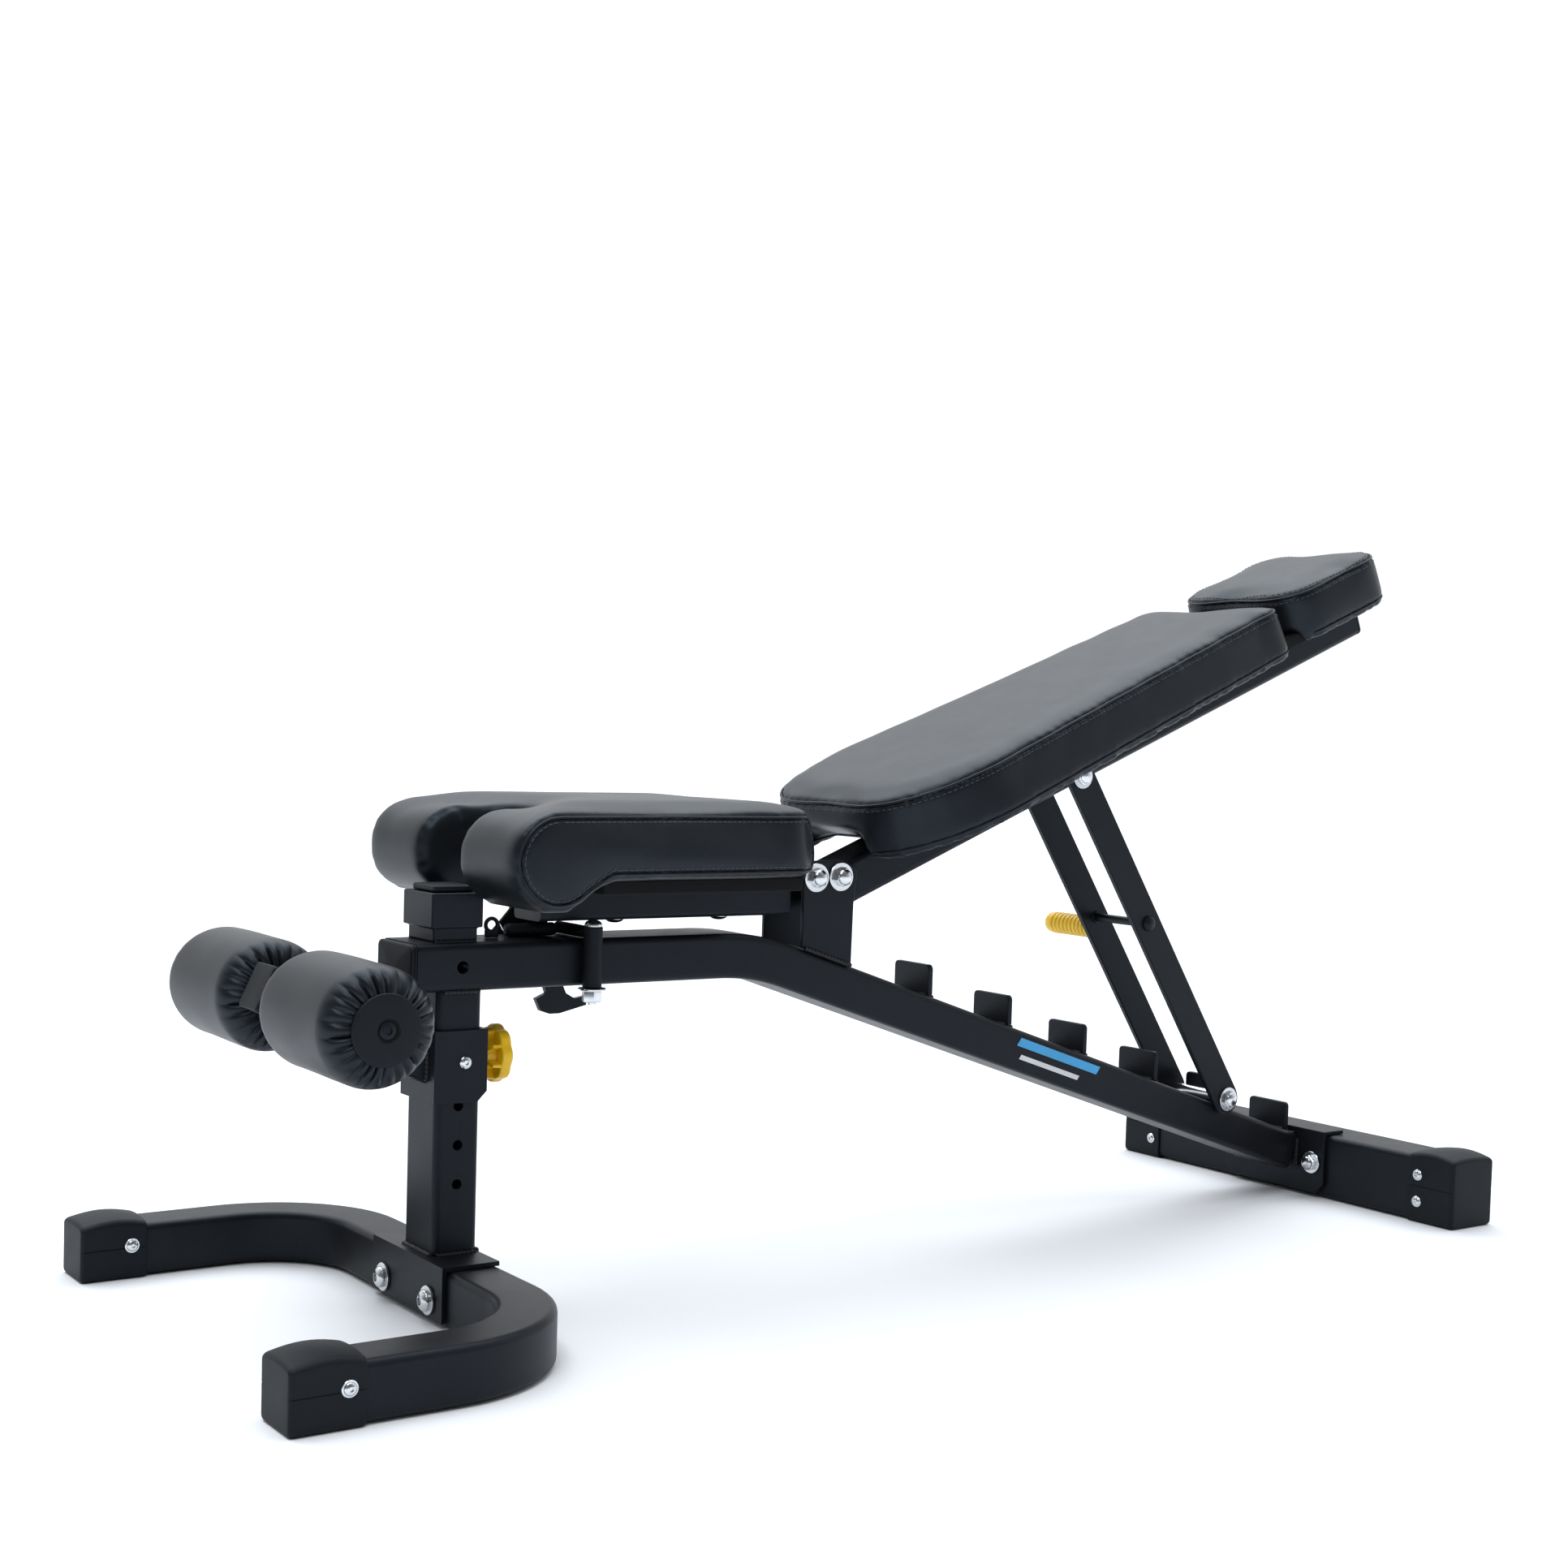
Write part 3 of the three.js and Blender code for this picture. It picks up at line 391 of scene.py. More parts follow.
def tube(bm, points, radius, sides=10, closed=False):
    """A round cord along points; radius is a number, or a function of the point's index."""
    rings = []
    normal = None
    for i, p in enumerate(points):
        after = points[(i + 1) % len(points)] if closed or i + 1 < len(points) else p
        before = points[i - 1] if closed or i > 0 else p
        tangent = (after - before).normalized()
        if normal is None:
            normal = tangent.orthogonal().normalized()
        normal = (normal - tangent * normal.dot(tangent)).normalized()
        r = radius(i) if callable(radius) else radius
        rings.append(circle(p, normal, tangent.cross(normal), r, sides))
    loft(bm, rings, closed=closed)


def spaced(points, pitch, closed=False):
    """Points at an even pitch along a polyline."""
    line = list(points) + ([points[0]] if closed else [])
    lengths = [(b - a).length for a, b in zip(line, line[1:])]
    total = sum(lengths)
    count = max(2, round(total / pitch))
    found = []
    index, walked = 0, 0.0
    for k in range(count if closed else count + 1):
        target = total * k / count
        while index < len(lengths) - 1 and walked + lengths[index] < target:
            walked += lengths[index]
            index += 1
        share = (target - walked) / lengths[index] if lengths[index] else 0
        found.append(line[index].lerp(line[index + 1], min(1, share)))
    return found


def weld(bm, points, radius=0.0028):
    """A bead with the ripple of a stick weld."""
    line = spaced([Vector(p) for p in points], 0.0011)
    tube(bm, line, lambda i: radius * (1 + 0.16 * math.sin(i * 2 * math.pi / 3.6)), 8)


def refine(node, width=0.0012, segments=2, look=None):
    """A copy of a CAD node with its edges rounded."""
    bm = bmesh.new()
    bm.from_mesh(frame["nodes"][node].data)
    bmesh.ops.remove_doubles(bm, verts=bm.verts, dist=1e-6)
    bmesh.ops.dissolve_limit(bm, angle_limit=math.radians(1), verts=bm.verts, edges=bm.edges)
    edges = [e for e in bm.edges if e.is_manifold and e.calc_face_angle(0) > math.radians(28)]
    bmesh.ops.bevel(bm, geom=edges, offset=width, segments=segments, profile=0.5, affect="EDGES",
                    clamp_overlap=True)
    return add_piece(f"{node}_visual", bm, BODY[node], look or SLOT[node], [node])


def cut_holes(piece, holes):
    """Bore round holes, each (start, axis, length, radius), into a piece."""
    bm = bmesh.new()
    for start, axis, length, radius in holes:
        rod(bm, start, axis, radius, length, 32)
    bmesh.ops.recalc_face_normals(bm, faces=bm.faces)
    mesh = bpy.data.meshes.new("cutters")
    bm.to_mesh(mesh)
    bm.free()
    cutter = bpy.data.objects.new("cutters", mesh)
    scene.collection.objects.link(cutter)
    modifier = piece.modifiers.new("holes", "BOOLEAN")
    modifier.object = cutter
    modifier.solver = "EXACT"
    piece.modifiers.move(len(piece.modifiers) - 1, 0)
    bpy.context.view_layer.update()
    result = bpy.data.meshes.new_from_object(piece.evaluated_get(bpy.context.evaluated_depsgraph_get()))
    piece.modifiers.clear()
    old = piece.data
    piece.data = result
    bpy.data.meshes.remove(old)
    bpy.data.objects.remove(cutter)
    bpy.data.meshes.remove(mesh)
    result.shade_smooth()
    result.set_sharp_from_angle(angle=math.radians(38))
    piece.modifiers.new("normals", "WEIGHTED_NORMAL").keep_sharp = True


# ---- Frame
TUBE_CORNER = 0.0065
BEAM_HALF = 0.021
BEAM_FLAT = 0.3494  # from the front of the beam to where the two planes of its top meet
BEAM_BEND = 0.26  # bend radius of its top
SLOPE = math.radians(18.6)
DOWN = Vector((math.cos(SLOPE), 0, -math.sin(SLOPE)))  # along the sloping part
UP = Vector((math.sin(SLOPE), 0, math.cos(SLOPE)))


def beam_line():
    """Points and normals along the beam's middle line."""
    low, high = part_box("main_beam")
    bend_x = low.x + BEAM_FLAT - BEAM_BEND * math.tan(SLOPE / 2)
    centre = Vector((bend_x, 0, high.z - BEAM_BEND))
    middle_z = high.z - BEAM_HALF
    line = [(Vector((low.x, 0, middle_z)), Z), (Vector((bend_x - 0.001, 0, middle_z)), Z)]
    steps = 14
    for i in range(steps + 1):
        t = SLOPE * i / steps
        normal = Vector((math.sin(t), 0, math.cos(t)))
        line.append((centre + normal * (BEAM_BEND - BEAM_HALF), normal))
    last = line[-1][0]
    reach = (high.x - last.x - BEAM_HALF * math.sin(SLOPE)) / math.cos(SLOPE)
    return [*line, (last + DOWN * reach, UP)]


def beam_top_at(x):
    low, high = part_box("main_beam")
    return high.z - max(0.0, x - low.x - BEAM_FLAT) * math.tan(SLOPE)


def build_beam():
    low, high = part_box("main_beam")
    bm = bmesh.new()
    loft(bm, [rounded_ring(p, Y, normal, high.y, BEAM_HALF, TUBE_CORNER) for p, normal in beam_line()])
    beam = stand_in("main_beam", bm)
    hole = Vector((low.x + 0.042, 0, high.z - BEAM_HALF))
    cut_holes(beam, [(hole + out * 0.05, -out, 0.04, 0.0055) for out in (-Y, Y)])

    bm = bmesh.new()
    start, end = face("beam_plug", -X, 0.012), face("beam_plug", -X)
    soft_box(bm, start, end, Y, 0.0343, 0.0203, 0.006, 0.0022, [(0.0085, 0.0012, 0.0007)], 0.0012)
    stand_in("beam_plug", bm)


def build_post():
    low, high, mid = span("post")
    bm = bmesh.new()
    ends = [Vector((mid.x, 0, z)) for z in (low.z, high.z)]
    loft(bm, [rounded_ring(p, X, Y, 0.021, 0.03, TUBE_CORNER) for p in ends])
    post = stand_in("post", bm)
    count, pitch, lowest, radius, deep = 4, 0.034, 0.113, 0.0046, 0.022
    highest = middle("pop_pin_rod").z
    holes = []
    for i in range(count):
        spot = Vector((mid.x, 0, lowest + pitch * i))
        holes += [(spot + out * 0.04, -out, deep, radius) for out in (-Y, Y)]
        holes.append((Vector((high.x + 0.01, 0, highest - pitch * i)), -X, deep, radius))
    cut_holes(post, holes)


def build_front_foot():
    low, high, mid = span("front_foot")
    half = 0.025
    bend = 0.13 - half
    rear, arm = high.x - half, high.y - half
    path = [(Vector((low.x, -arm, mid.z)), -Y)]
    for sign, start in ((-1, -math.pi / 2), (1, 0)):
        centre = Vector((rear - bend, sign * (arm - bend), mid.z))
        for t in quarter(16):
            out = Vector((math.cos(start + t), math.sin(start + t), 0))
            path.append((centre + out * bend, out))
    path.append((Vector((low.x, arm, mid.z)), Y))
    bm = bmesh.new()
    loft(bm, [rounded_ring(p, out, Z, half, (high.z - low.z) / 2, TUBE_CORNER) for p, out in path])
    stand_in("front_foot", bm)

    for name in ("left", "right"):
        node = f"front_cap_{name}"
        low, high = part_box(node)
        half = (high.y - low.y) / 2
        bm = bmesh.new()
        foot_cap(bm, face(node, X), face(node, -X), Y, half, (high.z - low.z) / 2)
        stand_in(node, bm)
        bm = bmesh.new()
        for out in (-Y, Y):
            spot = face(node, X, 0.0135) + Z * 0.002 + out * half
            washer(bm, spot - out * 0.0006, out, 0.0066, 0.0012)
            dome(bm, spot, out, 0.0052, 0.0032, 0.0018)
        add_piece(f"front_cap_screw_{name}", bm, "frame", "zinc")


def build_through_bolt(node, front_in, rear_in, front, rear):
    """A bolt along X; each end has the face it bears on, its washer, its head and the head's size."""
    bm = bmesh.new()
    fasten(bm, face(node, -X, front_in), -X, *front)
    fasten(bm, face(node, X, rear_in), X, *rear)
    stand_in(node, bm)


def build_saddle():
    refine("saddle_bracket", 0.0018, 3)
    front = ((0.0125, 0.0025), dome, 0.0092, 0.0066, 0.0035)
    rear = ((0.013, 0.0024), hexagon, 0.0095, 0.008)
    for name in ("left", "right"):
        build_through_bolt(f"saddle_bolt_{name}", 0.01, 0.0104, front, rear)


def build_receiver():
    refine("receiver", 0.0016, 3)
    bm = bmesh.new()
    start, end = face("receiver_plug", Z, 0.0064), face("receiver_plug", Z, 0.001)
    soft_box(bm, start, end, Y, 0.0238, 0.0195, 0.005, 0.0018, crown=0.001)
    stand_in("receiver_plug", bm)


def build_spring():
    """The eye bracket behind the receiver, and the covered spring that hooks into it."""
    eye = face("eye_bracket", Z, 0.0075)
    bm = bmesh.new()
    tube(bm, circle(eye, X, Z, 0.0057, 28), 0.0018, closed=True)
    soft_box(bm, face("eye_bracket", -Z), eye - Z * 0.004, Y, 0.002, 0.0065, 0.0015, 0.0008)
    stand_in("eye_bracket", bm)
    start = face("spring_cover", -X)
    bm = bmesh.new()
    lathe(bm, start, X, [
        (0, 0), (0.0035, 0), (0.005, 0.0015), (0.006, 0.004), (0.006, 0.047), (0.005, 0.0495),
        (0.0035, 0.051), (0, 0.051)])
    stand_in("spring_cover", bm)
    bm = bmesh.new()
    hook = [eye + Vector((0.0035, 0, -0.0045)), eye + Vector((0.0075, 0, 0.001))]
    hook += [start - X * 0.002, start + X * 0.003]
    tube(bm, spaced(hook, 0.001), 0.0009, 8)
    add_piece("spring_hook", bm, "frame", "zinc")


def build_hinge():
    for name in ("left", "right"):
        refine(f"hinge_plate_{name}", 0.0012, 3)
    reach = 0.0353  # just outside the plates
    for node in ("seat_pivot_bolt", "back_pivot_bolt"):
        mid = middle(node)
        near = Vector((mid.x, -reach, mid.z))
        bm = bmesh.new()
        fasten(bm, near, -Y, (0.0138, 0.0022), domed_nut, 0.0095, 0.0092)
        fasten(bm, near + Y * 2 * reach, Y, (0.0138, 0.0022), hexagon, 0.0095, 0.0068)
        rod(bm, near, Y, 0.006, 2 * reach)
        stand_in(node, bm)


def build_ladder():
    for number in range(1, 7):
        refine(f"ladder_tooth_{number}", 0.0013, 3)


def build_rear_foot():
    low, high, mid = span("rear_foot")
    half_x, half_z = (high.x - low.x) / 2, (high.z - low.z) / 2
    ends = [Vector((mid.x, y, mid.z)) for y in (low.y, high.y)]
    bm = bmesh.new()
    loft(bm, [rounded_ring(p, X, Z, half_x, half_z, TUBE_CORNER) for p in ends])
    stand_in("rear_foot", bm)
    front = ((0.0125, 0.0024), domed_nut, 0.0094, 0.0096)
    rear = ((0.0125, 0.0022), dome, 0.009, 0.0048, 0.0032)
    for name, sign in (("left", -1), ("right", 1)):
        low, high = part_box(f"rear_cap_{name}")
        mouth, end = (face(f"rear_cap_{name}", Y * s) for s in (-sign, sign))
        bm = bmesh.new()
        foot_cap(bm, mouth, end, X, (high.x - low.x) / 2, (high.z - low.z) / 2)
        stand_in(f"rear_cap_{name}", bm)
        bm = bmesh.new()
        for height in (0.023, 0.052):
            spot = Vector((low.x, mouth.y + sign * 0.013, height))
            washer(bm, spot, -X, 0.006, 0.0008)
            dome(bm, spot, -X, 0.0046, 0.0026, 0.0017)
        add_piece(f"rear_cap_screws_{name}", bm, "frame", "zinc")
        build_through_bolt(f"rear_flange_bolt_{name}", 0.012, 0.007, front, rear)
    refine("rear_flange", 0.0018, 3)


def build_frame_welds():
    """Beads where the tubes, plates and teeth meet."""
    beam_low, beam_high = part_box("main_beam")
    plate_low, plate_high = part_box("hinge_plate_left")
    post_low, post_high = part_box("post")
    box_low, box_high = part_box("receiver")
    saddle_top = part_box("saddle_bracket")[1].z
    lengthwise = [  # low corner, high corner, distance in from both, y, z, radius
        (post_low, post_high, 0.004, 0.0312, post_high.z, 0.0026),
        (post_low, post_high, 0.003, 0.0306, saddle_top, 0.0026),
        (box_low, box_high, 0.005, 0.0256, box_low.z, 0.002),
    ]
    crosswise = [  # x, y at both ends, z, radius
        (beam_high.x - 0.001, 0.031, beam_top_at(beam_high.x) - 0.0006, 0.0028),
        (post_high.x + 0.0006, 0.027, saddle_top, 0.0026),
        (post_low.x - 0.0006, 0.027, saddle_top, 0.0026),
    ]
    bm = bmesh.new()
    for sign in (-1, 1):
        ends = (plate_low.x + 0.002, plate_high.x - 0.006)
        weld(bm, [(x, sign * 0.0358, beam_top_at(x) + 0.0006) for x in ends], 0.0022)
        for low, high, inset, y, z, radius in lengthwise:
            weld(bm, [(low.x + inset, sign * y, z), (high.x - inset, sign * y, z)], radius)
        x, y = beam_high.x - 0.0012, sign * (beam_high.y + 0.0006)
        weld(bm, [(x, y, beam_low.z + 0.008), (x, y, beam_low.z + 0.04)])
    for x, y, z, radius in crosswise:
        weld(bm, [(x, -y, z), (x, y, z)], radius)
    for number in range(1, 7):
        low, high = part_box(f"ladder_tooth_{number}")
        for x in (low.x - 0.0008, high.x + 0.0008):
            z = beam_top_at(x) + 0.0004
            for a, b in ((-0.026, -0.008), (0.008, 0.026)):
                weld(bm, [(x, a, z), (x, b, z)], 0.0021)
    add_piece("frame_welds", bm, "frame", WELD, sharp=80, weighted=False)


def build_stripes():
    """Plain accent bars on the beam's side."""
    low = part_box("main_beam")[0]
    x = low.x + 0.668
    start = Vector((x, low.y - 0.0003, beam_top_at(x) - BEAM_HALF))
    lean = 0.35
    bars = [
        ("stripe_blue", 0.0, 0.118, 0.0035, 0.0125, BLUE),
        ("stripe_white", 0.012, 0.098, -0.009, -0.004, WHITE),
    ]
    for name, a, b, under, over, look in bars:
        spots = ((a, under), (b, under), (b, over), (a, over))
        corners = [start + DOWN * (s + n * lean) + UP * n for s, n in spots]
        bm = bmesh.new()
        loft(bm, [corners, [c - Y * 0.0003 for c in corners]])
        add_piece(name, bm, "frame", look, weighted=False)


for build in (
    build_beam, build_post, build_front_foot, build_saddle, build_receiver, build_spring, build_hinge,
    build_ladder, build_rear_foot, build_frame_welds, build_stripes,
):
    build()


# ---- Seat latch and rest bar
def lobed(bm, origin, axis, radius, thick, lobes, depth, dish=0.0):
    """A fluted hand knob with rounded rims."""
    u, v = turn_basis(axis)
    count = lobes * 12
    rims = [(0.86, 0), (0.97, 0.1), (1, 0.25), (1, 0.75), (0.97, 0.9), (0.86, 1)]
    rings = []
    for share, along in [*rims, (0.6, 1 - dish), (0.3, 1 - dish)]:
        centre = origin + axis * (thick * along)
        ring = []
        for i in range(count):
            t = 2 * math.pi * i / count
            flute = depth * (0.5 - 0.5 * math.cos(lobes * t)) ** 1.6 if share > 0.8 else 0
            ring.append(centre + (u * math.cos(t) + v * math.sin(t)) * (radius * share - flute))
        rings.append(ring)
    loft(bm, rings)


def build_pin(node, axis, point, radius, taper):
    """A round pin with a tapered point, as long as its CAD node."""
    start = face(node, -axis)
    length = (face(node, axis) - start).length
    bm = bmesh.new()
    lathe(bm, start, axis, [(0, 0), (point, 0), (radius, taper), (radius, length), (0, length)])
    stand_in(node, bm)


def build_latch():
    refine("latch_bracket", 0.0012, 3)
    bm = bmesh.new()
    bush(bm, face("latch_barrel", -Y), Y, 0.0034, 0.007, 0.013)
    stand_in("latch_barrel", bm)
    build_pin("latch_pin", Y, 0.0024, 0.003, 0.0008)
    low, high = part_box("latch_knob")
    bm = bmesh.new()
    lobed(bm, face("latch_knob", -Y), Y, 0.011, high.y - low.y, 10, 0.0012, 0.1)
    stand_in("latch_knob", bm)


def build_rest_bar():
    """The cross bar under the seat frame, on its upright bolt."""
    low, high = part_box("rest_bar")
    bolt = middle("rest_bar_bolt")
    length, tall = high.y - bolt.y, high.z - low.z
    bm = bmesh.new()
    lathe(bm, Vector((bolt.x, bolt.y, high.z - 0.0059)), Y, [
        (0, 0), (0.0055, 0), (0.0055, length - 0.001), (0.0045, length), (0, length)])
    lathe(bm, Vector((bolt.x, bolt.y, low.z)), Z, [
        (0, 0), (0.0078, 0), (0.0085, 0.0008), (0.0085, tall - 0.0008), (0.0078, tall), (0, tall)])
    stand_in("rest_bar", bm, look="rubber")
    foot = Vector((bolt.x, bolt.y, low.z - 0.0002))
    bm = bmesh.new()
    dome(bm, Vector((bolt.x, bolt.y, high.z + 0.0002)), Z, 0.0078, 0.006)
    fasten(bm, foot, -Z, (0.0125, 0.0018), hexagon, 0.0092, 0.0105)
    lathe(bm, foot - Z * 0.0123, -Z, [(0, 0), (0.004, 0), (0.0036, 0.0024), (0, 0.0026)])
    stand_in("rest_bar_bolt", bm)


# ---- Roller carriage
ARM_ANGLE = math.radians(24.7)


def build_carriage():
    refine("carriage_sleeve", 0.0011, 3)
    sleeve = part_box("carriage_sleeve")[0]
    shaft = middle("roller_shaft")
    forward = Vector((-math.cos(ARM_ANGLE), 0, math.sin(ARM_ANGLE)))
    tip = shaft + forward * 0.0311
    root = shaft - forward * ((sleeve.x - shaft.x) / math.cos(ARM_ANGLE))
    mouth = rounded_ring(tip, Y, Y.cross(forward).normalized(), 0.02, 0.02, 0.0045)
    back = [p + forward * ((sleeve.x - 0.0003 - p.x) / forward.x) for p in mouth]
    bm = bmesh.new()
    loft(bm, [back, mouth])
    stand_in("carriage_arm", bm)
    bm = bmesh.new()
    start, end = tip + forward * 0.0002, tip + forward * 0.0046
    soft_box(bm, start, end, Y, 0.0199, 0.0199, 0.0045, 0.0014, crown=0.0008)
    stand_in("carriage_arm_cap", bm)

    bm = bmesh.new()
    screw = Vector((sleeve.x + 0.0285, sleeve.y, middle("pop_pin_rod").z - 0.001))
    dome(bm, screw, -Y, 0.0058, 0.0035, 0.002)
    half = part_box("roller_shaft")[1].y
    rod(bm, Vector((shaft.x, -half, shaft.z)), Y, 0.01, 2 * half)
    stand_in("roller_shaft", bm)

    bm = bmesh.new()
    x, bottom = sleeve.x - 0.0006, root.z - 0.019
    for y in (-0.0204, 0.0204):
        weld(bm, [(x, y, bottom), (x, y, bottom + 0.04)], 0.0026)
    x, top = sleeve.x - 0.0008, root.z + 0.0222
    weld(bm, [(x, -0.018, top), (x, 0.018, top)], 0.0026)
    add_piece("carriage_welds", bm, "carriage", WELD, sharp=80, weighted=False)


def build_pop_pin():
    start = face("pop_pin_barrel", -X)
    length = (face("pop_pin_barrel", X) - start).length
    bm = bmesh.new()
    hexagon(bm, start, X, 0.0118, 0.006)
    lathe(bm, start, X, [(0, 0), (0.0094, 0), (0.0094, length - 0.001), (0.0084, length), (0, length)])
    stand_in("pop_pin_barrel", bm, "pop_pin_spring")

    low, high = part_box("pop_pin_knob")
    start = Vector((low.x, start.y, start.z))
    bm = bmesh.new()
    lobes = 8
    lobed(bm, start, X, 0.026, high.x - low.x, lobes, 0.0018, 0.22)
    lathe(bm, start + X * 0.006, X, [
        (0, 0), (0.0105, 0), (0.0105, 0.0048), (0.0092, 0.0057), (0, 0.0057)])
    # The hub and its ribs reach back over the barrel.
    reach, bore = 0.0135, 0.0106
    rim = reach + 0.001
    lathe(bm, start - X * reach, X, [
        (bore, 0), (0.0132, 0), (0.0136, 0.0006), (0.0148, rim), (bore, rim), (bore, 0)])
    spots = ((0.0125, 0.002 - reach), (0.0125, 0.001), (0.0235, 0.001), (0.0225, 0.007 - reach))
    for i in range(lobes):
        t = 2 * math.pi * (i + 0.5) / lobes
        out = Y * math.cos(t) + Z * math.sin(t)
        flank = X.cross(out) * 0.0014
        corners = [start + out * radius + X * along for radius, along in spots]
        loft(bm, [[c - flank for c in corners], [c + flank for c in corners]])
    stand_in("pop_pin_knob", bm)
    build_pin("pop_pin_rod", X, 0.003, 0.004, 0.0015)


PLEATS = 25
ROLLER_SHOULDER = 0.024
DISC_RADIUS = 0.029


def roller_profile(length, radius):
    """(radius, along, pleating) from one end disc over the barrel to the other."""
    hub = DISC_RADIUS - 0.004
    steps = 22
    end = []
    for i in range(steps + 1):
        t = math.pi / 2 * i / steps
        share = 1 - i / steps
        pleat = min(1.0, max(0.0, (share - 0.12) / 0.5)) ** 1.5
        end.append((hub + (radius - hub) * math.sin(t) ** 0.85, ROLLER_SHOULDER * (1 - math.cos(t)), pleat))
    barrel = length - 2 * ROLLER_SHOULDER
    middle_part = [(radius, ROLLER_SHOULDER + barrel * i / 12, 0.0) for i in range(1, 12)]
    under = [(0.0103, 0.006, 0.0), (hub * 0.7, 0.0045, 0.2)]
    start = under + end
    return start + middle_part + [(r, length - along, pleat) for r, along, pleat in reversed(start)]


def build_roller(name, sign):
    low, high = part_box(f"roller_{name}")
    length = high.y - low.y
    radius = (high.x - low.x) / 2 - 0.0006
    start = face(f"roller_{name}", -Y)
    segments = 300
    bm = bmesh.new()
    rings = []
    for r, along, pleat in roller_profile(length, radius):
        outward = 1 if along > length / 2 else -1
        ring = []
        for i in range(segments):
            t = 2 * math.pi * i / segments
            phase = PLEATS * t + 1.1 * math.sin(3 * t + outward) + 0.7 * math.sin(7 * t + 1)
            fold = abs(math.sin(phase / 2)) ** 0.6
            depth = pleat * (0.0028 + 0.0009 * math.sin(5 * t + 2 * outward)) * (1 - fold)
            sag = 0.00035 * math.sin(3 * t + along * 40) * (1 - pleat)
            out = X * math.cos(t) + Z * math.sin(t)
            ring.append(start + Y * (along - outward * depth) + out * (r - 0.6 * depth + sag))
        rings.append(ring)
    loft(bm, rings, closed=True)
    stand_in(f"roller_{name}", bm, sharp=80, weighted=False)

    out = Y * sign
    origin = face(f"roller_end_{name}", -out)
    rim = DISC_RADIUS - 0.0002
    bm = bmesh.new()
    lathe(bm, origin, out, [
        (0, 0), (rim - 0.0006, 0), (rim, 0.0008), (rim - 0.0006, 0.0024), (rim - 0.003, 0.0036),
        (0.0125, 0.0046), (0.0098, 0.0046), (0.0092, 0.0036), (0.0086, 0.0036), (0.0078, 0.0024),
        (0, 0.0024)], 72)
    stand_in(f"roller_end_{name}", bm)
    bm = bmesh.new()
    dome(bm, origin + out * 0.0024, out, 0.0072, 0.0024, 0.0036)
    add_piece(f"roller_end_bolt_{name}", bm, f"{name}_roller", "frame")


build_latch()
build_rest_bar()
build_carriage()
build_pop_pin()
build_roller("left", -1)
build_roller("right", 1)


# ---- Cushions
VOXEL = 0.005
SIM_FRAMES = 20
PRESSURE = 4.0
SMOOTHING = 24  # rounds that even out the swelling, so the vinyl lies taut


def applied(piece):
    """Bake a piece's modifiers into its mesh."""
    bpy.context.view_layer.update()
    mesh = bpy.data.meshes.new_from_object(piece.evaluated_get(bpy.context.evaluated_depsgraph_get()))
    piece.modifiers.clear()
    piece.data = mesh


def rounded_path(corners, steps=8):
    """A closed path through corners of (x, y, radius), in order round the outline."""
    points = []
    for i, (x, y, radius) in enumerate(corners):
        here = Vector((x, y))
        before = (Vector(corners[i - 1][:2]) - here).normalized()
        after = (Vector(corners[(i + 1) % len(corners)][:2]) - here).normalized()
        half = math.acos(max(-1, min(1, before.dot(after)))) / 2
        if radius <= 0 or half > 1.55:
            points.append(here)
            continue
        back = radius / math.tan(half)
        start, end = here + before * back, here + after * back
        centre = here + (before + after).normalized() * (radius / math.sin(half))
        a0 = math.atan2(*(start - centre).yx)
        sweep = math.atan2(*(end - centre).yx) - a0
        sweep = (sweep + math.pi) % (2 * math.pi) - math.pi
        for k in range(steps + 1):
            t = a0 + sweep * k / steps
            points.append(centre + Vector((math.cos(t), math.sin(t))) * radius)
    return points


def offset_path(points, distance):
    """Move a closed counter-clockwise path inwards."""
    moved = []
    for i, p in enumerate(points):
        along = (points[(i + 1) % len(points)] - points[i - 1]).normalized()
        moved.append(p + Vector((-along.y, along.x)) * distance)
    return moved


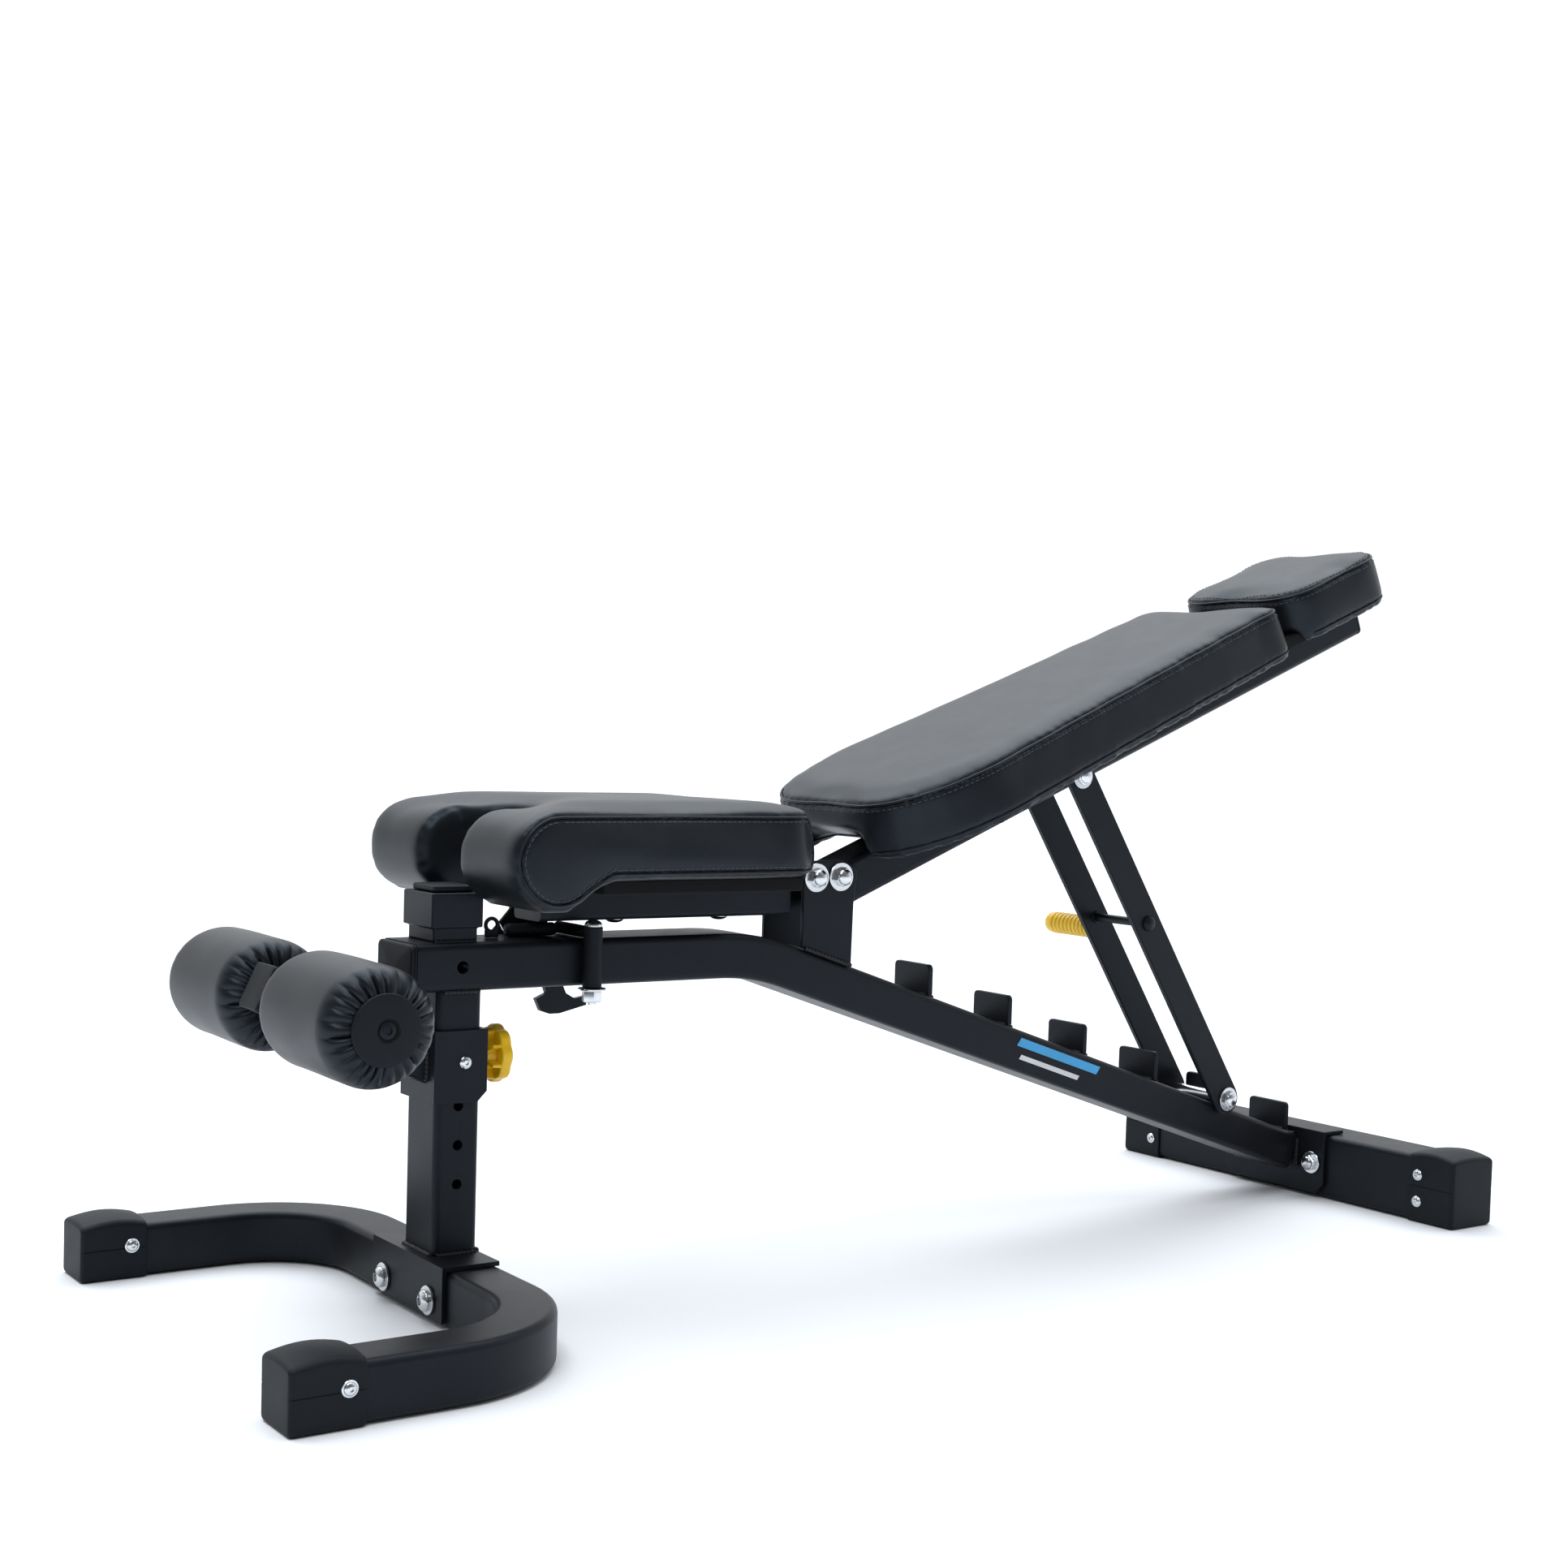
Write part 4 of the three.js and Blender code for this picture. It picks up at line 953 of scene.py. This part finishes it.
class Cushion:
    """A pad made from its CAD solid. basis turns its own frame (along, across, up) into the row frame."""

    def __init__(self, node, basis, relax, swell, pull):
        self.node = node
        self.basis = basis
        self.inverse = basis.inverted()
        mesh = frame["nodes"][node].data.copy()
        self.piece = bpy.data.objects.new(f"{node}_visual", mesh)
        scene.collection.objects.link(self.piece)
        remesh = self.piece.modifiers.new("remesh", "REMESH")
        remesh.mode = "VOXEL"
        remesh.voxel_size = VOXEL
        applied(self.piece)
        self.relax(relax, pull)
        self.simulate(swell)
        subdivide = self.piece.modifiers.new("subdivide", "SUBSURF")
        subdivide.levels = 1
        subdivide.render_levels = 1
        applied(self.piece)
        self.update_tree()

    def local(self):
        return [self.inverse @ v.co for v in self.piece.data.vertices]

    def store(self, points):
        for vertex, p in zip(self.piece.data.vertices, points):
            vertex.co = self.basis @ p
        self.piece.data.update()

    def relax(self, rounds, pull):
        """Round the edges, keep the base flat, and draw the sides in between the corners."""
        before = self.local()
        base = min(p.z for p in before)
        ends = min(p.x for p in before), max(p.x for p in before)
        bm = bmesh.new()
        bm.from_mesh(self.piece.data)
        for _ in range(rounds):
            bmesh.ops.smooth_vert(
                bm, verts=bm.verts, factor=0.5, use_axis_x=True, use_axis_y=True, use_axis_z=True)
        bm.to_mesh(self.piece.data)
        bm.free()
        after = self.local()
        for old, new in zip(before, after):
            if old.z < base + 0.002:
                new.z = base + 0.0006
            t = (new.x - ends[0]) / (ends[1] - ends[0])
            new.y *= 1 - pull * math.sin(math.pi * t)
        self.store(after)
        self.base = base

    def simulate(self, swell):
        """Blow the pad up as cloth under pressure, with its base held by the board."""
        start = self.local()
        held = self.piece.vertex_groups.new(name="held")
        turn = self.inverse.to_3x3()
        under = [(turn @ v.normal).z < -0.5 for v in self.piece.data.vertices]
        fixed = [under[i] or p.z < self.base + 0.006 for i, p in enumerate(start)]
        held.add([i for i, still in enumerate(fixed) if still], 1.0, "REPLACE")
        cloth = self.piece.modifiers.new("cloth", "CLOTH")
        settings = cloth.settings
        settings.quality = 4
        settings.mass = 0.3
        settings.use_pressure = True
        settings.uniform_pressure_force = PRESSURE
        settings.effector_weights.gravity = 0
        settings.vertex_group_mass = "held"
        cloth.point_cache.frame_start = 1
        cloth.point_cache.frame_end = SIM_FRAMES
        for number in range(1, SIM_FRAMES + 1):
            scene.frame_set(number)
        applied(self.piece)
        scene.frame_set(1)
        steps = [new - old for old, new in zip(start, self.local())]
        steps = [step * min(1.0, swell / max(step.length, 1e-9)) for step in steps]
        links = list(zip(fixed, self.neighbours()))
        for _ in range(SMOOTHING):
            spread = [sum((steps[k] for k in near), Vector()) * (0.6 / len(near)) for _, near in links]
            steps = [
                Vector() if still else step * 0.4 + more
                for (still, _), step, more in zip(links, steps, spread)
            ]
        self.store([old + step for old, step in zip(start, steps)])

    def neighbours(self):
        """For each vertex, the vertices that an edge joins it to."""
        near = [[] for _ in self.piece.data.vertices]
        for edge in self.piece.data.edges:
            a, b = edge.vertices
            near[a].append(b)
            near[b].append(a)
        return near

    def update_tree(self):
        bm = bmesh.new()
        bm.from_mesh(self.piece.data)
        self.tree = BVHTree.FromBMesh(bm)
        bm.free()

    def cast(self, point, direction):
        """The first point of the skin from a point of the pad's own frame."""
        origin = self.basis @ point
        aim = (self.basis.to_3x3() @ direction).normalized()
        hit, normal, _, _ = self.tree.ray_cast(origin, aim, 0.3)
        return hit, normal

    def top_line(self, path, pitch=0.003):
        """A path seen from above, laid on the top of the pad."""
        flat = spaced([p.to_3d() for p in path], pitch, closed=True)
        hits = [self.cast(Vector((p.x, p.y, self.base + 0.15)), Vector((0, 0, -1))) for p in flat]
        return [(h, n) for h, n in hits if h is not None]

    def side_line(self, path, height, pitch=0.003):
        """A path round the side of the pad at a height."""
        flat = spaced([p.to_3d() for p in path], pitch, closed=True)
        found = []
        for i, p in enumerate(flat):
            along = (flat[(i + 1) % len(flat)] - flat[i - 1]).normalized()
            out = Vector((along.y, -along.x, 0))
            hit, normal = self.cast(Vector((p.x, p.y, height)) + out * 0.05, -out)
            if hit is not None:
                found.append((hit, normal))
        return found

    def face_line(self, path, across, aim, pitch=0.003):
        """A path of (along, up) laid on the face met from `across`, looking along +Y or -Y."""
        flat = spaced([Vector((a, across, b)) for a, b in path], pitch, closed=True)
        hits = [self.cast(p, Vector((0, aim, 0))) for p in flat]
        return [(h, n) for h, n in hits if h is not None]

    def groove(self, line, depth, width, pucker=0.0):
        """Sink the skin along a line, with small puckers beside it."""
        tree = KDTree(len(line))
        for i, (point, _) in enumerate(line):
            tree.insert(point, i)
        tree.balance()
        mesh = self.piece.data
        normals = [v.normal.copy() for v in mesh.vertices]
        for vertex, normal in zip(mesh.vertices, normals):
            _, index, distance = tree.find(vertex.co)
            if distance > width * 3:
                continue
            fall = math.exp(-((distance / width) ** 2))
            wave = pucker * math.sin(index * 1.35) * math.exp(-((distance / (width * 1.7)) ** 2))
            vertex.co -= normal * (depth * fall + wave)
        mesh.update()
        self.update_tree()

    def dress(self, body):
        """Give the finished pad its vinyl, its body and its CAD node."""
        self.piece.data.shade_smooth()
        self.piece.data.materials.clear()
        self.piece.data.materials.append(LOOKS["vinyl"])
        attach(self.piece, body)
        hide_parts(self.node)


def smooth_line(line, rounds=3):
    points = [p for p, _ in line]
    for _ in range(rounds):
        after = points[1:] + points[:1]
        points = [(points[i - 1] + p * 2 + after[i]) / 4 for i, p in enumerate(points)]
    return [(p, n) for p, (_, n) in zip(points, line)]


def piping(name, line, radius, body):
    bm = bmesh.new()
    tube(bm, [p + n * radius * 0.35 for p, n in line], radius, 10, closed=True)
    return add_piece(name, bm, body, "vinyl", sharp=80, weighted=False)


def stitches(name, lines, body, pitch=0.0052, length=0.0036, radius=0.00042):
    """Rows of short thread loops that lie on the skin."""
    bm = bmesh.new()
    for line in lines:
        points = [p + n * radius * 0.7 for p, n in line]
        walked = 0.0
        for i in range(len(points) - 1):
            walked += (points[i + 1] - points[i]).length
            if walked < pitch:
                continue
            walked = 0.0
            a, normal = points[i], line[i][1]
            along = (points[i + 1] - a).normalized() * length
            dip = normal * radius * 1.2
            tube(bm, [a - dip, a + along * 0.25, a + along * 0.75, a + along - dip], radius, 5)
    return add_piece(name, bm, body, THREAD, sharp=80, weighted=False)


BACK_ANGLE = math.radians(22.5)


def back_basis():
    pivot = middle("back_pivot_bolt")
    turn = Matrix.Rotation(-BACK_ANGLE, 4, "Y")
    return Matrix.Translation(Vector((pivot.x, 0, pivot.z))) @ turn


def local_box(node, basis):
    """A CAD node's box in the frame of basis."""
    inverse = basis.inverted()
    points = [inverse @ v.co for v in frame["nodes"][node].data.vertices]
    return [Vector([pick(p[i] for p in points) for i in range(3)]) for pick in (min, max)]


def build_pad(node, basis, path, body, relax, swell, pull):
    """A pad with a piped seam round its top, two rows of stitches and a thin seam round its foot."""
    cushion = Cushion(node, basis, relax, swell, pull)
    low, high = local_box(node, basis)
    rounds, dense = 8, 0.0013
    top = smooth_line(cushion.side_line(path, high.z - 0.0045), rounds)
    foot = smooth_line(cushion.side_line(path, low.z + 0.007), rounds)
    cushion.groove(top, 0.0013, 0.0032, 0.0003)
    cushion.groove(foot, 0.001, 0.0028, 0.0002)
    inner = smooth_line(cushion.top_line(offset_path(path, 0.0095), dense), rounds)
    outer = smooth_line(cushion.side_line(path, high.z - 0.0095, dense), rounds)
    stitches(f"{node}_stitching", [inner, outer], body)
    piping(f"{node}_piping_top", top, 0.0013, body)
    piping(f"{node}_piping_foot", foot, 0.001, body)
    cushion.dress(body)


def build_seat():
    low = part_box("seat_frame")[0]
    mid_z = (low.z + 0.367) / 2
    rear = low.x + 0.267
    bm = bmesh.new()
    loft(bm, [rounded_ring(Vector((x, 0, mid_z)), Y, Z, 0.025, 0.015, 0.005) for x in (low.x, rear)])
    pivot = middle("seat_pivot_bolt")
    bush(bm, Vector((pivot.x, -0.0297, pivot.z)), Y, 0.0064, 0.011, 0.0594)
    start, end = Vector((rear - 0.04, 0, 0.3693)), Vector((pivot.x - 0.003, 0, 0.3693))
    soft_box(bm, start, end, Y, 0.025, 0.0027, 0.001, 0.0008)
    stand_in("seat_frame", bm)
    refine("seat_arc_plate", 0.001)
    refine("seat_board", 0.002)
    bm = bmesh.new()
    for along in (0.089, 0.202):
        dome(bm, Vector((low.x + along, 0, low.z)), -Z, 0.0085, 0.0048, 0.003)
    add_piece("seat_board_bolts", bm, "seat", "zinc")


SEAT_ROLL = 0.043  # radius of the rolls at the seat pad's front


def seat_side(low, high, inset):
    """The seat pad's side panel, in from its edges: round the front roll, then the flat part."""
    centre_x, centre_z = low.x + SEAT_ROLL, high.z - SEAT_ROLL
    base = low.z + 0.0252
    radius = SEAT_ROLL - inset
    path = []
    for i in range(25):
        t = math.radians(90 + 225 * i / 24)
        path.append((centre_x + radius * math.cos(t), centre_z + radius * math.sin(t)))
    rear, top = high.x - inset, high.z - inset
    path += [(centre_x + 0.05, base + inset), (rear - 0.006, base + inset), (rear, base + 0.02)]
    return path + [(rear, top - 0.012), (rear - 0.012, top)]


def build_seat_pad():
    """The seat pad: two front rolls with a notch between them, and a sewn panel on each side."""
    low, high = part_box("seat_pad")
    cushion = Cushion("seat_pad", Matrix.Identity(4), 8, 0.007, 0.012)
    seams, rows = [], []
    for sign in (-1, 1):
        seams.append(smooth_line(cushion.face_line(seat_side(low, high, 0.0065), sign * 0.3, -sign)))
        rows.append(cushion.face_line(seat_side(low, high, 0.0105), sign * 0.3, -sign, 0.0013))
        ring = [p for p in seat_side(low, high, 0.006)[:25] if p[0] < low.x + 0.062]
        seams.append(cushion.face_line(ring, 0.0, sign, 0.003))
    for i, seam in enumerate(seams):
        cushion.groove(seam, 0.0013, 0.003, 0.0003)
        if i % 2 == 0:
            piping(f"seat_pad_piping_{'left' if i == 0 else 'right'}", seam, 0.0011, "seat")
    stitches("seat_pad_stitching", rows, "seat")
    cushion.dress("seat")


def build_back():
    basis = back_basis()
    turn = basis.to_3x3()
    along, up = turn @ X, turn @ Z
    low, high = local_box("back_tube", basis)
    mid = (low.z + high.z) / 2
    half = (high.z - low.z) / 2
    bm = bmesh.new()
    ends = [basis @ Vector((u, 0, mid)) for u in (low.x, high.x - 0.006)]
    loft(bm, [rounded_ring(p, Y, up, 0.025, half, TUBE_CORNER) for p in ends])
    stand_in("back_tube", bm)
    bm = bmesh.new()
    end = basis @ Vector((high.x - 0.0065, 0, mid))
    soft_box(bm, end, end + along * 0.0055, Y, 0.0252, half + 0.0002, TUBE_CORNER, 0.0018, (), 0.0008)
    add_piece("back_tube_cap", bm, "back_rest", "rubber")
    refine("back_board", 0.002)

    build_pad("back_pad", basis, back_outline(basis), "back_rest", 8, 0.007, 0.008)
    low, high = local_box("head_pad", basis)
    spots = ((low.x, -high.y), (high.x, -high.y), (high.x, high.y), (low.x, high.y))
    outline = [(x, y, 0.042) for x, y in spots]
    build_pad("head_pad", basis, rounded_path(outline), "back_rest", 8, 0.007, 0.012)


def back_outline(basis):
    """The back pad's outline: a blunt rounded nose at the seat, tapering to the head end."""
    low, high = local_box("back_pad", basis)
    half, nose, head_half, corner = high.y, 0.125, 0.108, 0.028
    pulls = [(low.x + nose, -half), (low.x + nose * 0.3, -half), (low.x, -half * 0.7), (low.x, -half * 0.3)]
    bend = [Vector(p) for p in pulls]
    steps = 14
    right = []
    for i in range(steps, -1, -1):
        t = i / steps
        a, b, c, d = (1 - t) ** 3, 3 * t * (1 - t) ** 2, 3 * t * t * (1 - t), t ** 3
        right.append(bend[0] * a + bend[1] * b + bend[2] * c + bend[3] * d)
    centre = Vector((high.x - corner, corner - head_half))
    right += [centre + Vector((math.sin(t), -math.cos(t))) * corner for t in quarter(8)]
    return right + [Vector((p.x, -p.y)) for p in reversed(right)]


# ---- Prop
def build_prop():
    top, foot = middle("prop_top_bolt"), middle("prop_foot_pin")
    axis = (foot - top).normalized()
    across = axis.cross(Y).normalized()
    half, steps = 0.0175, 14
    outline = []
    for centre, sign in ((top, -1), (foot, 1)):
        for i in range(steps + 1):
            t = math.pi * i / steps
            outline.append((centre, (axis * math.sin(t) - across * math.cos(t)) * sign))
    bm = bmesh.new()
    for side in (-1, 1):
        rings = []
        for y, inset in ((0.037, 0.0012), (0.0382, 0), (0.0428, 0), (0.044, 0.0012)):
            ring = [centre + out * (half - inset) for centre, out in outline]
            rings.append([Vector((p.x, side * y, p.z)) for p in ring])
        loft(bm, rings)
    cross, grip = top.lerp(foot, 0.44), middle("prop_grip")
    rod(bm, Vector((cross.x, -0.047, cross.z)), Y, 0.0045, 0.086)
    rod(bm, Vector((grip.x, 0.039, grip.z)), Y, 0.0045, 0.07)
    dome(bm, Vector((cross.x, -0.044, cross.z)), -Y, 0.0082, 0.005)
    for y in (-0.0365, 0.0365):
        tube(bm, circle(Vector((cross.x, y, cross.z)), X, Z, 0.0052, 24), 0.0014, 6, closed=True)
    stand_in("prop_frame", bm)

    low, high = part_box("prop_grip")
    length = high.y - low.y
    full, waist = 0.012, 0.0112
    profile = [(0, 0), (waist, 0), (full, 0.001), (full, 0.006)]
    for i in range(9):
        at = 0.009 + i * 0.0062
        profile += [(full, at), (waist, at + 0.0011), (waist, at + 0.0022), (full, at + 0.0033)]
    profile += [(full, length - 0.012), (waist, length - 0.006), (0.009, length - 0.0025)]
    profile += [(0.005, length - 0.0006), (0, length)]
    bm = bmesh.new()
    lathe(bm, Vector((grip.x, low.y, grip.z)), Y, profile)
    stand_in("prop_grip", bm, sharp=30)

    for node, centre, radius in (("prop_top_bolt", top, 0.006), ("prop_foot_pin", foot, 0.007)):
        spot = Vector((centre.x, 0, centre.z))
        bm = bmesh.new()
        for out in (-Y, Y):
            fasten(bm, spot + out * 0.0443, out, (0.013, 0.0022), domed_nut, 0.0092, 0.0068)
            if node == "prop_top_bolt":
                washer(bm, spot + out * 0.0253, out, 0.01, 0.0112)
        rod(bm, spot - Y * 0.0367, Y, radius, 0.0734)
        stand_in(node, bm)


build_seat()
build_seat_pad()
build_back()
build_prop()


# ---- Stage and light
def add_stage():
    size = 40
    floor_look = surface(
        "studio_floor", (0.9, 0.915, 0.94), 0.8, ("noise", 40, 0.00002), tint=0.01, blotch=2, specular=0.1)
    mesh = bpy.data.meshes.new("floor")
    corners = [(-size, -size, 0), (size, -size, 0), (size, size, 0), (-size, size, 0)]
    mesh.from_pydata(corners, [], [(0, 1, 2, 3)])
    floor = bpy.data.objects.new("floor", mesh)
    mesh.materials.append(floor_look)
    scene.collection.objects.link(floor)

    add_world()
    sun = bpy.data.lights.new("overhead", "SUN")
    sun.energy = 2.4
    sun.angle = math.radians(70)
    sun.color = (0.9, 0.95, 1)
    soft = bpy.data.lights.new("key", "AREA")
    soft.energy = 22
    soft.size = 1.0
    soft.color = (0.93, 0.97, 1)
    for name, data, place in (("overhead", sun, (0.3, 1.0, 3.0)), ("key", soft, (-1.5, -1.2, 2.6))):
        lamp = bpy.data.objects.new(name, data)
        lamp.location = place
        lamp.rotation_euler = (Vector((0, 0, 0.3)) - Vector(place)).to_track_quat("-Z", "Y").to_euler()
        scene.collection.objects.link(lamp)


def add_world():
    """A white backdrop behind the bench that falls off to a dim room in front of it."""
    world = bpy.data.worlds.new("studio")
    world.use_nodes = True
    nodes = world.node_tree.nodes
    link = world.node_tree.links.new
    direction = nodes.new("ShaderNodeTexCoord").outputs["Generated"]
    depth = nodes.new("ShaderNodeVectorMath")
    depth.operation = "DOT_PRODUCT"
    depth.inputs[1].default_value = (math.sin(YAW), math.cos(YAW), 0.35)
    link(direction, depth.inputs[0])
    fade = nodes.new("ShaderNodeMapRange")
    fade.interpolation_type = "SMOOTHSTEP"
    fade.inputs["From Min"].default_value = -0.5
    fade.inputs["From Max"].default_value = 0.45
    fade.inputs["To Min"].default_value = 0.16
    fade.inputs["To Max"].default_value = 1.08
    link(depth.outputs["Value"], fade.inputs["Value"])
    background = nodes["Background"]
    background.inputs["Color"].default_value = (0.965, 0.98, 1.0, 1)
    link(fade.outputs["Result"], background.inputs["Strength"])
    scene.world = world


add_stage()
scene.view_settings.view_transform = "Standard"

for name, node in frame["nodes"].items():
    if not node.hide_render:
        node.data.materials.clear()
        node.data.materials.append(LOOKS[SLOT[name]])
